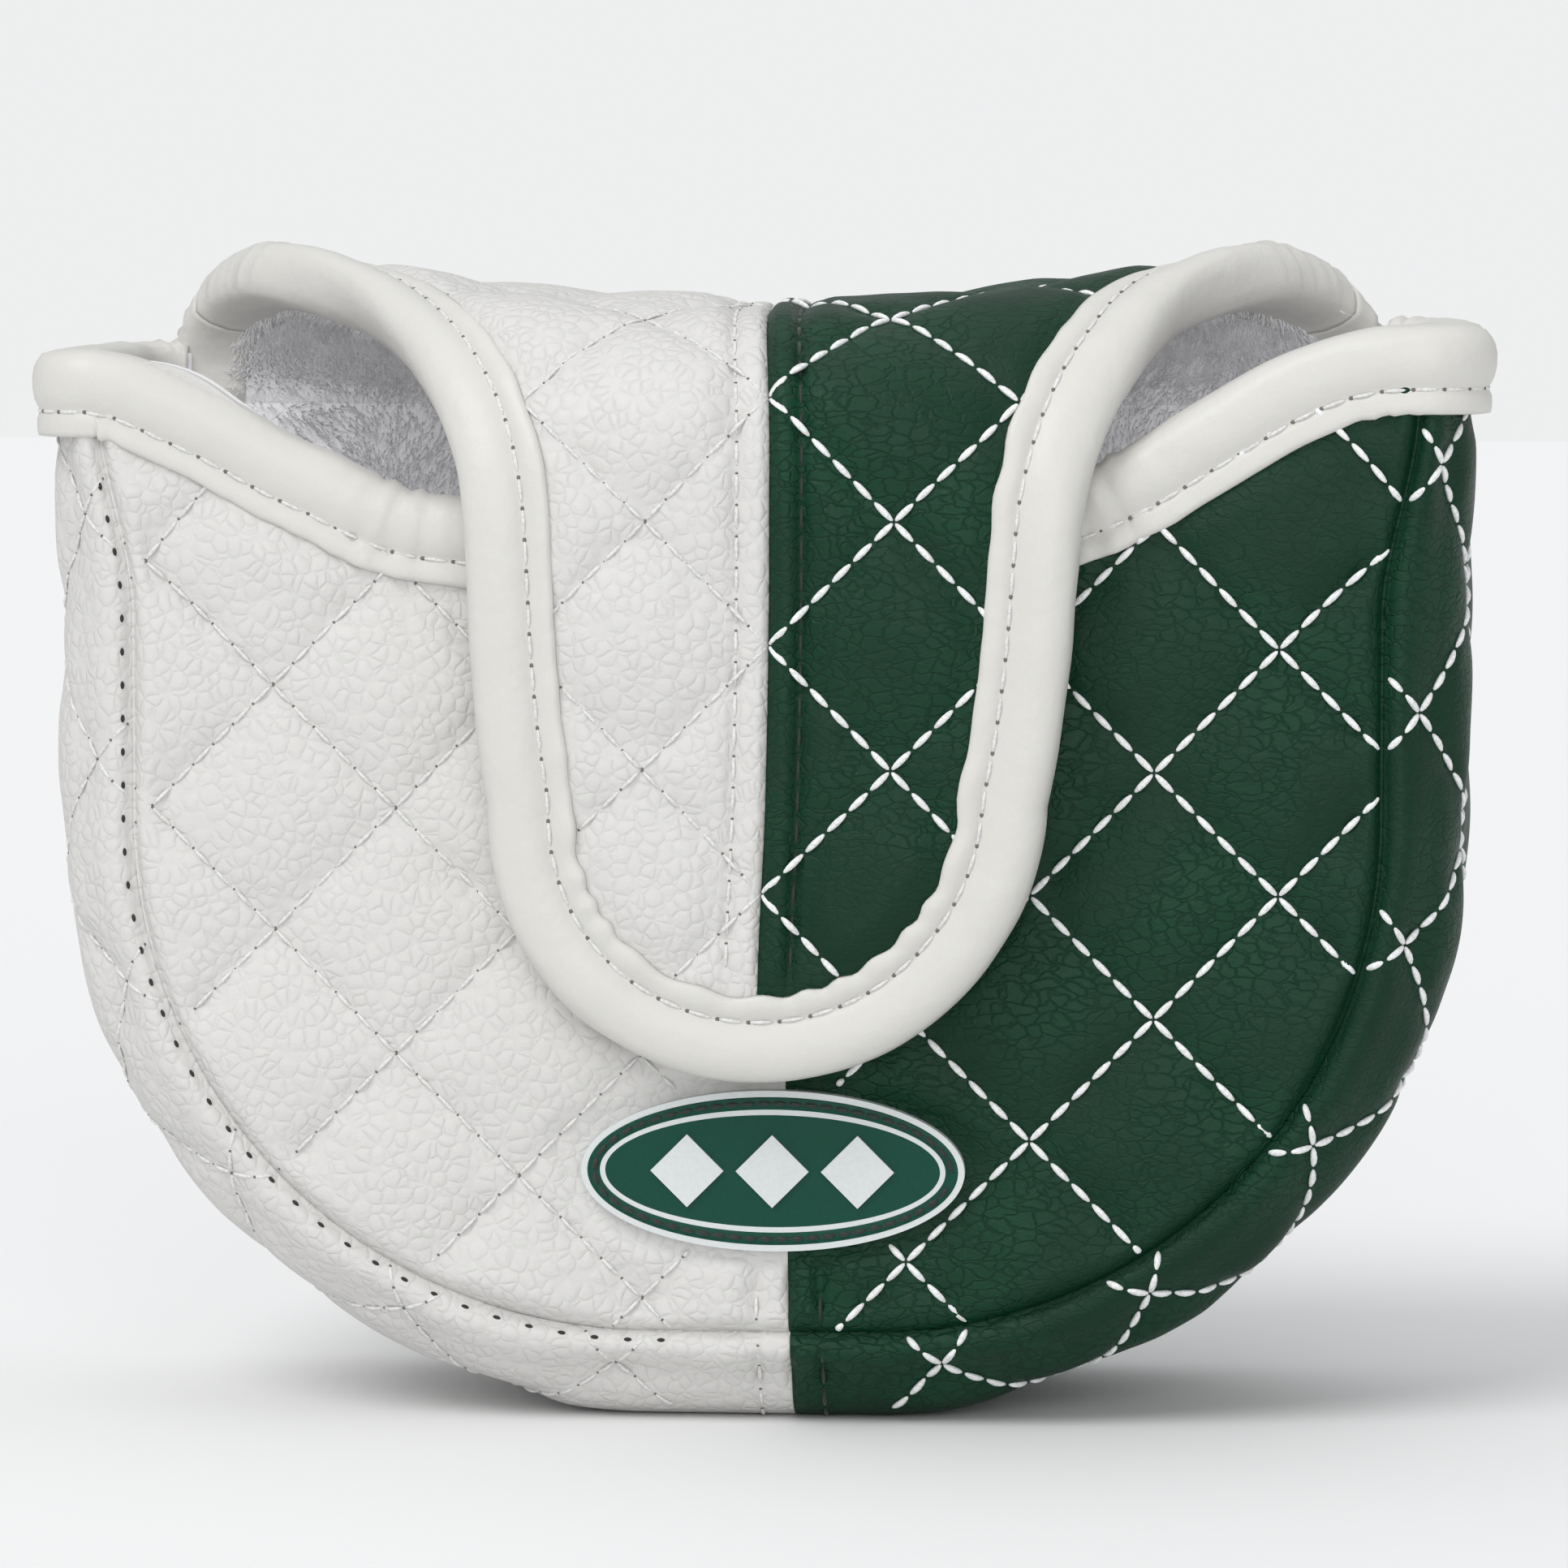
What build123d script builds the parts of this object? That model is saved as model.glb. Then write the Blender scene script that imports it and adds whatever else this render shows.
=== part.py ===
from build123d import *
import os

os.makedirs("parts", exist_ok=True)

# Putter head cover for a mallet head. X runs across it with the green half at +X, the flap
# is in front at -Y, and Z is up. Everything is first built round the middle plane of the
# pouch, and moved by to_origin on export, so that the origin is the middle of the footprint.

# Pouch
pouch_width = 142.0
pouch_depth = 44.0
side_height = 105.0
bottom_flat_half = 11.0
edge_round = 9.5

# Laminate, from the outside in
shell_thick = 1.0
padding_thick = 2.0
lining_thick = 2.5

# Binding that wraps the free edges
wrap_thick = 1.0
binding_width = 7.8

# Mouth of the front panel
mouth_drop = 15.0
mouth_low_share = 0.51
mouth_high_share = 0.80
mouth_bend_radius = 14.0

# Flap crown
root_drop = 5.0
crown_rise = 9.0
crown_bend_radius = 14.0
crown_side_gap = 0.6
crown_mid_share = 0.80
crown_front_share = 0.59
crown_neck_share = 0.44
crown_edge_radius = 9.0
crown_root_run_share = 0.4
crown_bend_run_share = 0.55
crown_neck_rise = 1.0
crown_shoulder_rise = 1.0
crown_shoulder_top_rise = 3.0
crown_shoulder_flare = 1.25
crown_neck_drop = 4.0

# Flap tongue
tongue_root_rise = 6.0
tongue_root_half = 28.5
tongue_tip_radius = 26.0
tongue_clearance = 0.5
fold_gap = 0.3

# Offsets of the middle seams and the badge across the cover
body_seam_x = 3.0
flap_seam_x = 1.5
badge_x = 2.0

# Badge
badge_width = 37.8
badge_height = 15.9
badge_z = 25.7
badge_base_thick = 1.0
badge_rim_width = 2.4
badge_rim_thick = 0.5
badge_diamond_half = 3.6
badge_diamond_pitch = 8.4
badge_diamond_thick = 0.4
badge_to_tongue = 1.55

# Closure magnets
magnet_radius = 7.5
magnet_play = 0.2
magnet_half_pitch = 10.0
magnet_above_tip = 13.0

laminate = shell_thick + padding_thick + lining_thick
tongue_gap = 2 * wrap_thick + tongue_clearance
layer_depths = [0.0, shell_thick, shell_thick + padding_thick, laminate]
half_width = pouch_width / 2
half_depth = pouch_depth / 2
corner_radius = half_width - bottom_flat_half
mouth_height = side_height - mouth_drop
root_height = side_height - root_drop
crown_top = side_height + crown_rise
tongue_root_height = mouth_height + tongue_root_rise
tongue_face = half_depth + tongue_gap + laminate
tongue_tip = badge_z + badge_height / 2 + badge_to_tongue + wrap_thick
front_reach = tongue_face + wrap_thick
back_reach = half_depth + wrap_thick
to_origin = (front_reach - back_reach) / 2
magnet_thick = padding_thick - 2 * magnet_play
magnet_z = tongue_tip + magnet_above_tip
beyond = crown_top + 2 * laminate + binding_width
plan_reach = 3

both_sides = (-1, 1)


def wall(outline, y_from, y_to):
    """A slab with this outline in XZ, from one Y to the other."""
    thick = abs(y_to - y_from)
    middle = (y_from + y_to) / 2
    return Pos(0, middle, 0) * extrude(Plane.XZ * outline, amount=thick / 2, both=True)


def slab(x_from, x_to, y_from, y_to, z_from, z_to):
    """A box between these limits."""
    box = Box(x_to - x_from, y_to - y_from, z_to - z_from)
    return Pos((x_from + x_to) / 2, (y_from + y_to) / 2, (z_from + z_to) / 2) * box


def rounded_polygon(points, radii):
    """A polygon whose corner at each point is rounded by the radius beside it, 0 for sharp."""
    shape = make_face(Polyline(*points, close=True))
    for point, radius in zip(points, radii):
        if radius:
            nearest = shape.vertices().sort_by_distance((point[0], point[1], 0))[0]
            shape = fillet(nearest, radius)
    return shape


def exported(shape, name):
    """Writes one node, moved so that the origin is the middle of the footprint."""
    placed = Pos(0, to_origin, 0) * shape
    solids = placed.solids()
    node = solids[0] if len(solids) == 1 else Compound(children=list(solids))
    node.label = name
    export_step(node, "parts/" + name + ".step")


# Limits used for cutting
everywhere = 3 * pouch_width
front_half = slab(-everywhere, everywhere, -everywhere, 0, -everywhere, everywhere)
back_half = slab(-everywhere, everywhere, 0, everywhere, -everywhere, everywhere)


def left_of(x):
    return slab(-everywhere, x, -everywhere, everywhere, -everywhere, everywhere)


def right_of(x):
    return slab(x, everywhere, -everywhere, everywhere, -everywhere, everywhere)


def below(z):
    return slab(-everywhere, everywhere, -everywhere, everywhere, -everywhere, z)


def above(z):
    return slab(-everywhere, everywhere, -everywhere, everywhere, z, everywhere)


# ---------------------------------------------------------------- pouch


def pouch_outline(inset):
    """The pouch from the front, open-ended above the mouth."""
    half = half_width - inset
    radius = corner_radius - inset
    points = [(-half, beyond), (-half, inset), (half, inset), (half, beyond)]
    return rounded_polygon(points, [0, radius, radius, 0])


def pouch_body(inset):
    """The filled pouch, this far inside its outer surface."""
    face_y = half_depth - inset
    body = wall(pouch_outline(inset), -face_y, face_y)
    corners = body.edges().filter_by(lambda edge: edge.center().Z < beyond - fold_gap)
    front_rims = corners.filter_by_position(Axis.Y, -face_y, -face_y)
    back_rims = corners.filter_by_position(Axis.Y, face_y, face_y)
    rims = front_rims + back_rims
    return fillet(rims, edge_round - inset)


def mouth_outline(lift):
    """Everything under the front panel's top edge, in XZ."""
    low = half_width * mouth_low_share
    high = half_width * mouth_high_share
    wide = everywhere
    points = [
        (-wide, -wide),
        (wide, -wide),
        (wide, side_height + lift),
        (high, side_height + lift),
        (low, mouth_height + lift),
        (-low, mouth_height + lift),
        (-high, side_height + lift),
        (-wide, side_height + lift),
    ]
    bend = mouth_bend_radius
    return rounded_polygon(points, [0, 0, 0, bend, bend, bend, bend, 0])


panel_prism = wall(pouch_outline(edge_round), -everywhere, everywhere)
bodies_at = {depth: pouch_body(depth) for depth in layer_depths}
under_mouth = wall(mouth_outline(0), -everywhere, everywhere)

front_layers = []
back_layers = []
gusset_layers = []
for outer, inner in zip(layer_depths, layer_depths[1:]):
    layer = bodies_at[outer] - bodies_at[inner]
    panels = layer & panel_prism
    front_layers.append(panels & front_half & under_mouth)
    back_layers.append(panels & back_half & below(root_height - fold_gap / 2))
    gusset_layers.append((layer - panel_prism) & below(side_height))

# ---------------------------------------------------------------- mouth binding

# The strip wraps the top edge of the front panel and of both side walls, in one run.
wrapped_out = pouch_body(-wrap_thick)
wrapped_in = pouch_body(laminate + wrap_thick)
over_front = wall(mouth_outline(wrap_thick), -everywhere, everywhere)
under_front = wall(mouth_outline(-binding_width), -everywhere, everywhere)
panel_sides = panel_prism & back_half
rim_laminate = (bodies_at[0.0] - bodies_at[laminate]) & (
    (under_mouth & (panel_prism & front_half)) + (below(side_height) - panel_prism)
)
rim_band = (over_front & below(side_height + wrap_thick)) - under_front
mouth_binding = (wrapped_out - wrapped_in) & rim_band
mouth_binding = mouth_binding - panel_sides
mouth_binding = mouth_binding - rim_laminate

# ---------------------------------------------------------------- badge


def oval(width, height):
    return Pos(badge_x, badge_z) * Ellipse(width / 2, height / 2)


def diamond(x):
    half = badge_diamond_half
    corners = [(x - half, badge_z), (x, badge_z - half), (x + half, badge_z), (x, badge_z + half)]
    return make_face(Polyline(*corners, close=True))


field_width = badge_width - 2 * badge_rim_width
field_height = badge_height - 2 * badge_rim_width
badge_back = -half_depth
badge_deck = badge_back - badge_base_thick
badge_top = badge_deck - badge_rim_thick
emblem_top = badge_top - badge_diamond_thick
field = wall(oval(field_width, field_height), badge_deck, badge_top)
badge_base = wall(oval(badge_width, badge_height), badge_back, badge_top) - field
badge_emblem = Part()
for step in (-1, 0, 1):
    middle = badge_x + step * badge_diamond_pitch
    badge_emblem += wall(diamond(middle), badge_top, emblem_top)

# ---------------------------------------------------------------- flap crown

crown_root_half = half_width - edge_round - wrap_thick - crown_side_gap
crown_low = tongue_root_height - crown_bend_radius
crown_split = slab(-everywhere, everywhere, 0, everywhere, root_height + fold_gap / 2, everywhere)
crown_split += slab(
    -everywhere, everywhere, -everywhere, 0, tongue_root_height + fold_gap / 2, everywhere
)


def arch(inset):
    """The crown's filled side profile, swept across the cover."""
    front = -tongue_face + inset
    back = half_depth - inset
    top = crown_top - inset
    points = [(front, crown_low), (back, crown_low), (back, top), (front, top)]
    bend = crown_bend_radius - inset
    profile = rounded_polygon(points, [0, 0, bend, bend])
    return extrude(Plane.YZ * profile, amount=everywhere, both=True)


def crown_plan(grow):
    """The crown from above, grown by this much on its free edges."""
    mid = half_width * crown_mid_share
    front = half_width * crown_front_share
    shift = flap_seam_x
    root_run = half_depth * crown_root_run_share
    bend_run = half_depth * crown_bend_run_share
    points = [
        (-crown_root_half, half_depth * plan_reach),
        (-crown_root_half, root_run),
        (shift / 2 - mid, -bend_run),
        (shift - front, -tongue_face),
        (shift - front, -tongue_face * plan_reach),
        (shift + front, -tongue_face * plan_reach),
        (shift + front, -tongue_face),
        (shift / 2 + mid, -bend_run),
        (crown_root_half, root_run),
        (crown_root_half, half_depth * plan_reach),
    ]
    bend = crown_edge_radius
    plan = rounded_polygon(points, [0, bend, bend, bend, 0, 0, bend, bend, bend, 0])
    return extrude(offset(plan, amount=grow) if grow else plan, amount=everywhere, both=True)


def crown_front_outline(grow):
    """The crown from the front below its bend, grown by this much on its free edges."""
    front = half_width * crown_front_share
    neck = half_width * crown_neck_share
    root = tongue_root_half
    shift = flap_seam_x
    flare = front * crown_shoulder_flare
    underside = crown_top - laminate
    root_z = tongue_root_height - crown_neck_drop
    neck_z = crown_top - crown_bend_radius + crown_neck_rise
    shoulder_z = underside + crown_shoulder_rise
    flare_z = underside + crown_shoulder_top_rise
    points = [
        (shift - root, crown_low - everywhere),
        (shift + root, crown_low - everywhere),
        (shift + root, root_z),
        (shift + neck, neck_z),
        (shift + front, shoulder_z),
        (shift + flare, flare_z),
        (shift + flare, crown_top + everywhere),
        (shift - flare, crown_top + everywhere),
        (shift - flare, flare_z),
        (shift - front, shoulder_z),
        (shift - neck, neck_z),
        (shift - root, root_z),
    ]
    outline = make_face(Polyline(*points, close=True))
    return offset(outline, amount=grow, kind=Kind.INTERSECTION) if grow else outline


def crown_region(grow):
    """All that lies within the crown's free edges, grown by this much."""
    bend_back = -tongue_face + crown_bend_radius
    ahead = wall(crown_front_outline(grow), -everywhere, bend_back)
    behind = slab(-everywhere, everywhere, bend_back, everywhere, -everywhere, everywhere)
    return crown_plan(grow) & (ahead + behind)


arches_at = {depth: arch(depth) for depth in layer_depths}
crown_inside = crown_region(0)
crown_layers = []
for outer, inner in zip(layer_depths, layer_depths[1:]):
    layer = arches_at[outer] - arches_at[inner]
    crown_layers.append(layer & crown_inside & crown_split)

crown_laminate = (arches_at[0.0] - arches_at[laminate]) & crown_inside
crown_rim = crown_region(wrap_thick) - crown_region(-binding_width)
crown_wrap = (arch(-wrap_thick) - arch(laminate + wrap_thick)) & crown_rim
crown_wrap = (crown_wrap - crown_laminate) & crown_split

# ---------------------------------------------------------------- flap tongue


def tongue_outline(grow):
    """The tongue from the front, grown by this much on its free edge."""
    radius = tongue_tip_radius + grow
    root = tongue_root_half + grow
    centre_z = tongue_tip + tongue_tip_radius
    top = tongue_root_height - fold_gap / 2
    left = flap_seam_x - radius
    right = flap_seam_x + radius
    lowest = (flap_seam_x, centre_z - radius)
    edges = [
        Line((flap_seam_x - root, top), (left, centre_z)),
        ThreePointArc(
            (left, centre_z),
            lowest,
            (right, centre_z),
        ),
        Line((right, centre_z), (flap_seam_x + root, top)),
        Line((flap_seam_x + root, top), (flap_seam_x - root, top)),
    ]
    return make_face(edges)


tongue_layers = []
for outer, inner in zip(layer_depths, layer_depths[1:]):
    tongue_layers.append(wall(tongue_outline(0), -tongue_face + outer, -tongue_face + inner))

tongue_wrap = wall(
    tongue_outline(wrap_thick), -tongue_face - wrap_thick, -tongue_face + laminate + wrap_thick
)
tongue_wrap -= wall(tongue_outline(-binding_width), -everywhere, everywhere)
tongue_wrap -= wall(tongue_outline(0), -tongue_face, -tongue_face + laminate)

# ---------------------------------------------------------------- magnets


def magnet_disc(x, middle_y, radius, thick):
    turned = Rot(90, 0, 0) * Cylinder(radius, thick)
    return Pos(x, middle_y, magnet_z) * turned


padding_middle = shell_thick + padding_thick / 2
magnets = {}
for side, word in zip(both_sides, ("left", "right")):
    x = flap_seam_x + side * magnet_half_pitch
    front_y = -half_depth + padding_middle
    tongue_y = -tongue_face + padding_middle
    magnets["front_magnet_" + word] = magnet_disc(x, front_y, magnet_radius, magnet_thick)
    magnets["tongue_magnet_" + word] = magnet_disc(x, tongue_y, magnet_radius, magnet_thick)
    pocket_radius = magnet_radius + magnet_play
    front_layers[1] -= magnet_disc(x, front_y, pocket_radius, padding_thick)
    tongue_layers[1] -= magnet_disc(x, tongue_y, pocket_radius, padding_thick)

# ---------------------------------------------------------------- nodes

nodes = {
    "front_padding": front_layers[1],
    "front_lining": front_layers[2],
    "back_padding": back_layers[1],
    "back_lining": back_layers[2],
    "gusset_padding": gusset_layers[1],
    "gusset_lining": gusset_layers[2],
    "mouth_binding": mouth_binding,
    "badge_base": badge_base,
    "badge_field": field,
    "badge_emblem": badge_emblem,
    "crown_padding": crown_layers[1],
    "crown_lining": crown_layers[2],
    "crown_binding_left": crown_wrap & left_of(flap_seam_x),
    "crown_binding_right": crown_wrap & right_of(flap_seam_x),
    "tongue_padding": tongue_layers[1],
    "tongue_lining": tongue_layers[2],
    "tongue_binding": tongue_wrap,
}
outer_shells = {
    "front_shell": (front_layers[0], body_seam_x),
    "back_shell": (back_layers[0], flap_seam_x),
    "gusset_shell": (gusset_layers[0], body_seam_x),
    "crown_shell": (crown_layers[0], flap_seam_x),
    "tongue_shell": (tongue_layers[0], flap_seam_x),
}
for name, (shell, seam_x) in outer_shells.items():
    nodes[name + "_white"] = shell & left_of(seam_x)
    nodes[name + "_green"] = shell & right_of(seam_x)
nodes.update(magnets)

for name, shape in nodes.items():
    exported(shape, name)
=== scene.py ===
import math

import bpy
import numpy as np
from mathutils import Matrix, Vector


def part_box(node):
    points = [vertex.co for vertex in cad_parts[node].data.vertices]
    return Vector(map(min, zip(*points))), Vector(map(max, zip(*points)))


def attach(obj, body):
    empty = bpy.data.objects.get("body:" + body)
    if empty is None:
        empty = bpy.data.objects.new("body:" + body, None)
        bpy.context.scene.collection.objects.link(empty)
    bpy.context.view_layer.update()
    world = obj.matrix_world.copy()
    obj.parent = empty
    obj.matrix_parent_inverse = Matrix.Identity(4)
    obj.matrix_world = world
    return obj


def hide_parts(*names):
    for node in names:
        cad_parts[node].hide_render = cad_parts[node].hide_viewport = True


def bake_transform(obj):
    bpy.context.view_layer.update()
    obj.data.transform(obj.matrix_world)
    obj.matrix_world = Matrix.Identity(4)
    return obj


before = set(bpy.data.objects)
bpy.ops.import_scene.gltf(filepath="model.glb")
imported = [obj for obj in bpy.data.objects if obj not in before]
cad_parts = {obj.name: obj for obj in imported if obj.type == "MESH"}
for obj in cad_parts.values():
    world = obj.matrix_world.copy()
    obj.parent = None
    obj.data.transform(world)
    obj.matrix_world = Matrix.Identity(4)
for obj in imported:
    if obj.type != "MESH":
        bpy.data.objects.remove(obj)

bl_info = {
    "name": "Quilted putter cover",
    "version": (1, 0, 0),
    "blender": (4, 5, 0),
    "location": "3D View > Sidebar > Putter Cover",
    "description": "Builds the soft pieces and finishes of a quilted mallet putter cover",
    "category": "Object",
}

MM = 0.001

# ------------------------------------------------------------------ sizes from the frame


def box_mm(node):
    low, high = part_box(node)
    return np.array(low) / MM, np.array(high) / MM


GUSSET_LOW, GUSSET_HIGH = box_mm("gusset_shell_green")
PANEL_LOW, PANEL_HIGH = box_mm("front_shell_green")
MID_Y = (GUSSET_LOW[1] + GUSSET_HIGH[1]) / 2
HALF_DEPTH = (GUSSET_HIGH[1] - GUSSET_LOW[1]) / 2
HALF_WIDTH = GUSSET_HIGH[0]
SIDE_TOP = GUSSET_HIGH[2]
ROUND = HALF_WIDTH - PANEL_HIGH[0]
FLAT_HALF = 11.0
CORNER = HALF_WIDTH - FLAT_HALF
ROOT_Z = box_mm("crown_shell_green")[0][2] * 0 + box_mm("back_shell_green")[1][2] + 0.3
SHELL = 1.0
PADDING = 2.0
LAMINATE = 5.5
PANEL_RADIUS = CORNER - ROUND


class CoverSizes(bpy.types.PropertyGroup):
    """Sizes of the soft goods and the sewing, in millimetres."""

    quilt: bpy.props.FloatProperty(
        name="Quilt diamond", description="Width and height of one quilted diamond", default=24.2
    )
    puff: bpy.props.FloatProperty(
        name="Puff", description="How far a diamond rises between its stitch lines", default=1.5
    )
    furrow: bpy.props.FloatProperty(
        name="Furrow", description="How wide a stitch line's furrow is", default=2.6
    )
    stitches_per_side: bpy.props.IntProperty(
        name="Stitches per side", description="Stitches along one side of a diamond", default=6
    )
    thread: bpy.props.FloatProperty(
        name="Quilting thread", description="Radius of the green half's quilting thread", default=0.37
    )
    fine_thread: bpy.props.FloatProperty(
        name="Fine thread", description="Radius of the fine seam threads", default=0.22
    )
    seam_pitch: bpy.props.FloatProperty(
        name="Seam pitch", description="Length of one stitch with its gap on seams", default=3.05
    )
    roll: bpy.props.FloatProperty(
        name="Binding roll", description="Binding from its stitch line to the free edge", default=5.2
    )
    margin: bpy.props.FloatProperty(
        name="Binding margin", description="Flat binding beyond its stitch line", default=2.5
    )
    grid: bpy.props.FloatProperty(
        name="Grid", description="Distance between a panel's mesh points", default=0.75
    )
    flap_thick: bpy.props.FloatProperty(
        name="Flap thickness", description="Thickness of the flap's laminate", default=4.6
    )


class CoverColours(bpy.types.PropertyGroup):
    """Colours of the cover, in linear light."""

    white: bpy.props.FloatVectorProperty(
        name="White leatherette", description="Colour of the white half",
        subtype="COLOR", size=3, default=(0.615, 0.607, 0.590),
    )
    green: bpy.props.FloatVectorProperty(
        name="Green leatherette", description="Colour of the green half",
        subtype="COLOR", size=3, default=(0.0032, 0.0280, 0.0135),
    )
    binding: bpy.props.FloatVectorProperty(
        name="Binding", description="Colour of the binding",
        subtype="COLOR", size=3, default=(0.615, 0.607, 0.575),
    )
    # The plush colour is also the colour of its painted glow.
    plush: bpy.props.FloatVectorProperty(
        name="Plush", description="Colour of the lining",
        subtype="COLOR", size=3, default=(0.86, 0.855, 0.875),
    )
    white_thread: bpy.props.FloatVectorProperty(
        name="White thread", description="Colour of the quilting thread",
        subtype="COLOR", size=3, default=(0.83, 0.84, 0.84),
    )
    green_thread: bpy.props.FloatVectorProperty(
        name="Green thread", description="Colour of the green seam thread",
        subtype="COLOR", size=3, default=(0.006, 0.018, 0.011),
    )


def sizes():
    return bpy.context.scene.cover_sizes


def colours():
    return bpy.context.scene.cover_colours


# ------------------------------------------------------------------ small mathematics


def smooth(value, low, high):
    """0 below low, 1 above high, and a soft step between them."""
    t = np.clip((value - low) / (high - low), 0, 1)
    return t * t * (3 - 2 * t)


def curve_through(at, values):
    """A smooth function of one variable through these values."""
    at = np.asarray(at, float)
    values = np.asarray(values, float)
    slope = np.gradient(values, at)

    def read(t):
        t = np.clip(t, at[0], at[-1])
        i = np.clip(np.searchsorted(at, t, side="right") - 1, 0, len(at) - 2)
        wide = at[i + 1] - at[i]
        f = (t - at[i]) / wide
        return (
            (2 * f**3 - 3 * f**2 + 1) * values[i]
            + (f**3 - 2 * f**2 + f) * wide * slope[i]
            + (3 * f**2 - 2 * f**3) * values[i + 1]
            + (f**3 - f**2) * wide * slope[i + 1]
        )

    return read


def ripple(seed, size, count=26):
    """A smooth random field over space, from about -1 to 1, with bumps of about this size."""
    random = np.random.default_rng(seed)
    ways = random.normal(size=(count, 3))
    ways /= np.linalg.norm(ways, axis=1)[:, None]
    ways *= 2 * math.pi / (size * random.uniform(0.7, 1.6, count))[:, None]
    phase = random.uniform(0, 2 * math.pi, count)

    def read(points):
        total = np.zeros(points.shape[:-1])
        for way, start in zip(ways, phase):
            total += np.sin(points @ way + start)
        return total / math.sqrt(count)

    return read


SOFT_FOLDS = ripple(3, 22.0)
CREASES = ripple(5, 7.0)
FINE_CREASES = ripple(8, 3.2)


# ------------------------------------------------------------------ mesh helpers


def mesh_piece(name, points, faces, materials, face_slots=None, flat_end=0):
    """A mesh object from points in millimetres round the pouch's middle plane."""
    shifted = (np.asarray(points, float) + np.array([0, MID_Y, 0])) * MM
    mesh = bpy.data.meshes.new(name)
    mesh.from_pydata(shifted.tolist(), [], [tuple(f) for f in faces])
    for material in materials:
        mesh.materials.append(material)
    if face_slots is not None:
        mesh.polygons.foreach_set("material_index", np.asarray(face_slots, np.int32))
    rounded = np.arange(len(mesh.polygons)) < len(mesh.polygons) - flat_end
    mesh.polygons.foreach_set("use_smooth", rounded)
    mesh.validate()
    mesh.update()
    piece = bpy.data.objects.new(name, mesh)
    bpy.context.scene.collection.objects.link(piece)
    return piece


def outward(points, faces):
    """The faces, turned round if they enclose a negative volume."""
    a = points[faces[:, 0]]
    total = 0.0
    for i in range(1, faces.shape[1] - 1):
        b = points[faces[:, i]]
        c = points[faces[:, i + 1]]
        total += float((a * np.cross(b, c)).sum())
    return faces if total > 0 else faces[:, ::-1]


def slab_faces(rows, columns):
    """Quads of a closed slab between two grids of points, the outer one first."""
    count = rows * columns
    index = np.arange(count).reshape(rows, columns)
    top = np.stack([index[:-1, :-1], index[:-1, 1:], index[1:, 1:], index[1:, :-1]], -1)
    top = top.reshape(-1, 4)
    ring = np.concatenate([index[0, :-1], index[:-1, -1], index[-1, :0:-1], index[:0:-1, 0]])
    after = np.roll(ring, -1)
    rim = np.stack([after, ring, ring + count, after + count], -1)
    return np.concatenate([top, top[:, ::-1] + count, rim])


def slab(name, outer, inner, material):
    """A closed sheet between an outer and an inner grid of points."""
    rows, columns = outer.shape[:2]
    points = np.concatenate([outer.reshape(-1, 3), inner.reshape(-1, 3)])
    faces = outward(points, slab_faces(rows, columns))
    return mesh_piece(name, points, faces, [material], None, 2 * (rows + columns) - 4)


def tube_faces(rings, around, closed):
    """Quads of a swept section, with a cap at each end of an open sweep."""
    index = np.arange(rings * around).reshape(rings, around)
    follow = np.roll(index, -1, axis=0) if closed else index[1:]
    start = index if closed else index[:-1]
    side = np.stack([start, np.roll(start, -1, 1), np.roll(follow, -1, 1), follow], -1)
    return side.reshape(-1, 4)


def grid_normals(base, u, v, flip):
    """Unit normals of a surface base(u, v), by small steps."""
    step = 0.05
    along = base(u + step, v) - base(u - step, v)
    across = base(u, v + step) - base(u, v - step)
    normal = np.cross(along, across)
    normal /= np.maximum(np.linalg.norm(normal, axis=-1), 1e-9)[..., None]
    return -normal if flip else normal


# ------------------------------------------------------------------ the cover's surfaces


def quilting(u, v, start_u, start_v):
    """Height of the quilted diamonds, 0 on the stitch lines and 1 in their middles."""
    wide = sizes().quilt
    depth = sizes().furrow
    rise = np.ones(np.broadcast(u, v).shape)
    near = np.full(rise.shape, 99.0)
    for sign in (-1, 1):
        across = (u - start_u) + sign * (v - start_v)
        off = np.abs((across + wide / 2) % wide - wide / 2) / math.sqrt(2)
        rise = rise * (1 - np.exp(-off / depth))
        near = np.minimum(near, off)
    return rise, near


def seam_relief(x):
    """Height of the middle seam: a rolled green edge, and a pressed white one."""
    green = 0.62 * np.clip(1 - ((x - 1.55) / 1.6) ** 2, 0, 1) * (x > 0)
    white = 0.22 * np.clip(1 - ((x + 1.5) / 1.9) ** 2, 0, 1) * (x <= 0)
    furrow = 0.42 * np.exp(-(((np.abs(x) - 3.15) / 0.55) ** 2))
    joint = 0.55 * np.exp(-((x / 0.40) ** 2))
    return green + white - furrow - joint


def leather_relief(points, rise, near, seam_x, edge, seam_far, share=1.0, lip=1.3):
    """Outward relief of a quilted panel: puff, creases, middle seam and flat edges."""
    puff = sizes().puff * rise * share
    pucker = np.exp(-near / 2.2)
    creases = 0.16 * CREASES(points) * (0.35 + pucker) + 0.07 * FINE_CREASES(points) * pucker
    folds = 0.20 * SOFT_FOLDS(points)
    middle = smooth(np.abs(seam_x), 2.6, 6.5)
    relief = (puff + folds) * (0.12 + 0.88 * middle) + creases * (0.3 + 0.7 * middle)
    relief = relief + seam_relief(seam_x)
    pressed = smooth(edge, sizes().roll + sizes().margin - 1.2, sizes().roll + sizes().margin + 3.5)
    relief = relief * (0.10 + 0.90 * pressed)
    tucked = np.exp(-((seam_far / (0.5 * lip)) ** 2))
    rolled = 0.45 * np.exp(-(((seam_far - 1.4 * lip) / lip) ** 2))
    return np.clip(relief * smooth(seam_far, 0.1, 3.0 * lip) + rolled - 0.85 * tucked, -0.6, 3.0)


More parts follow.
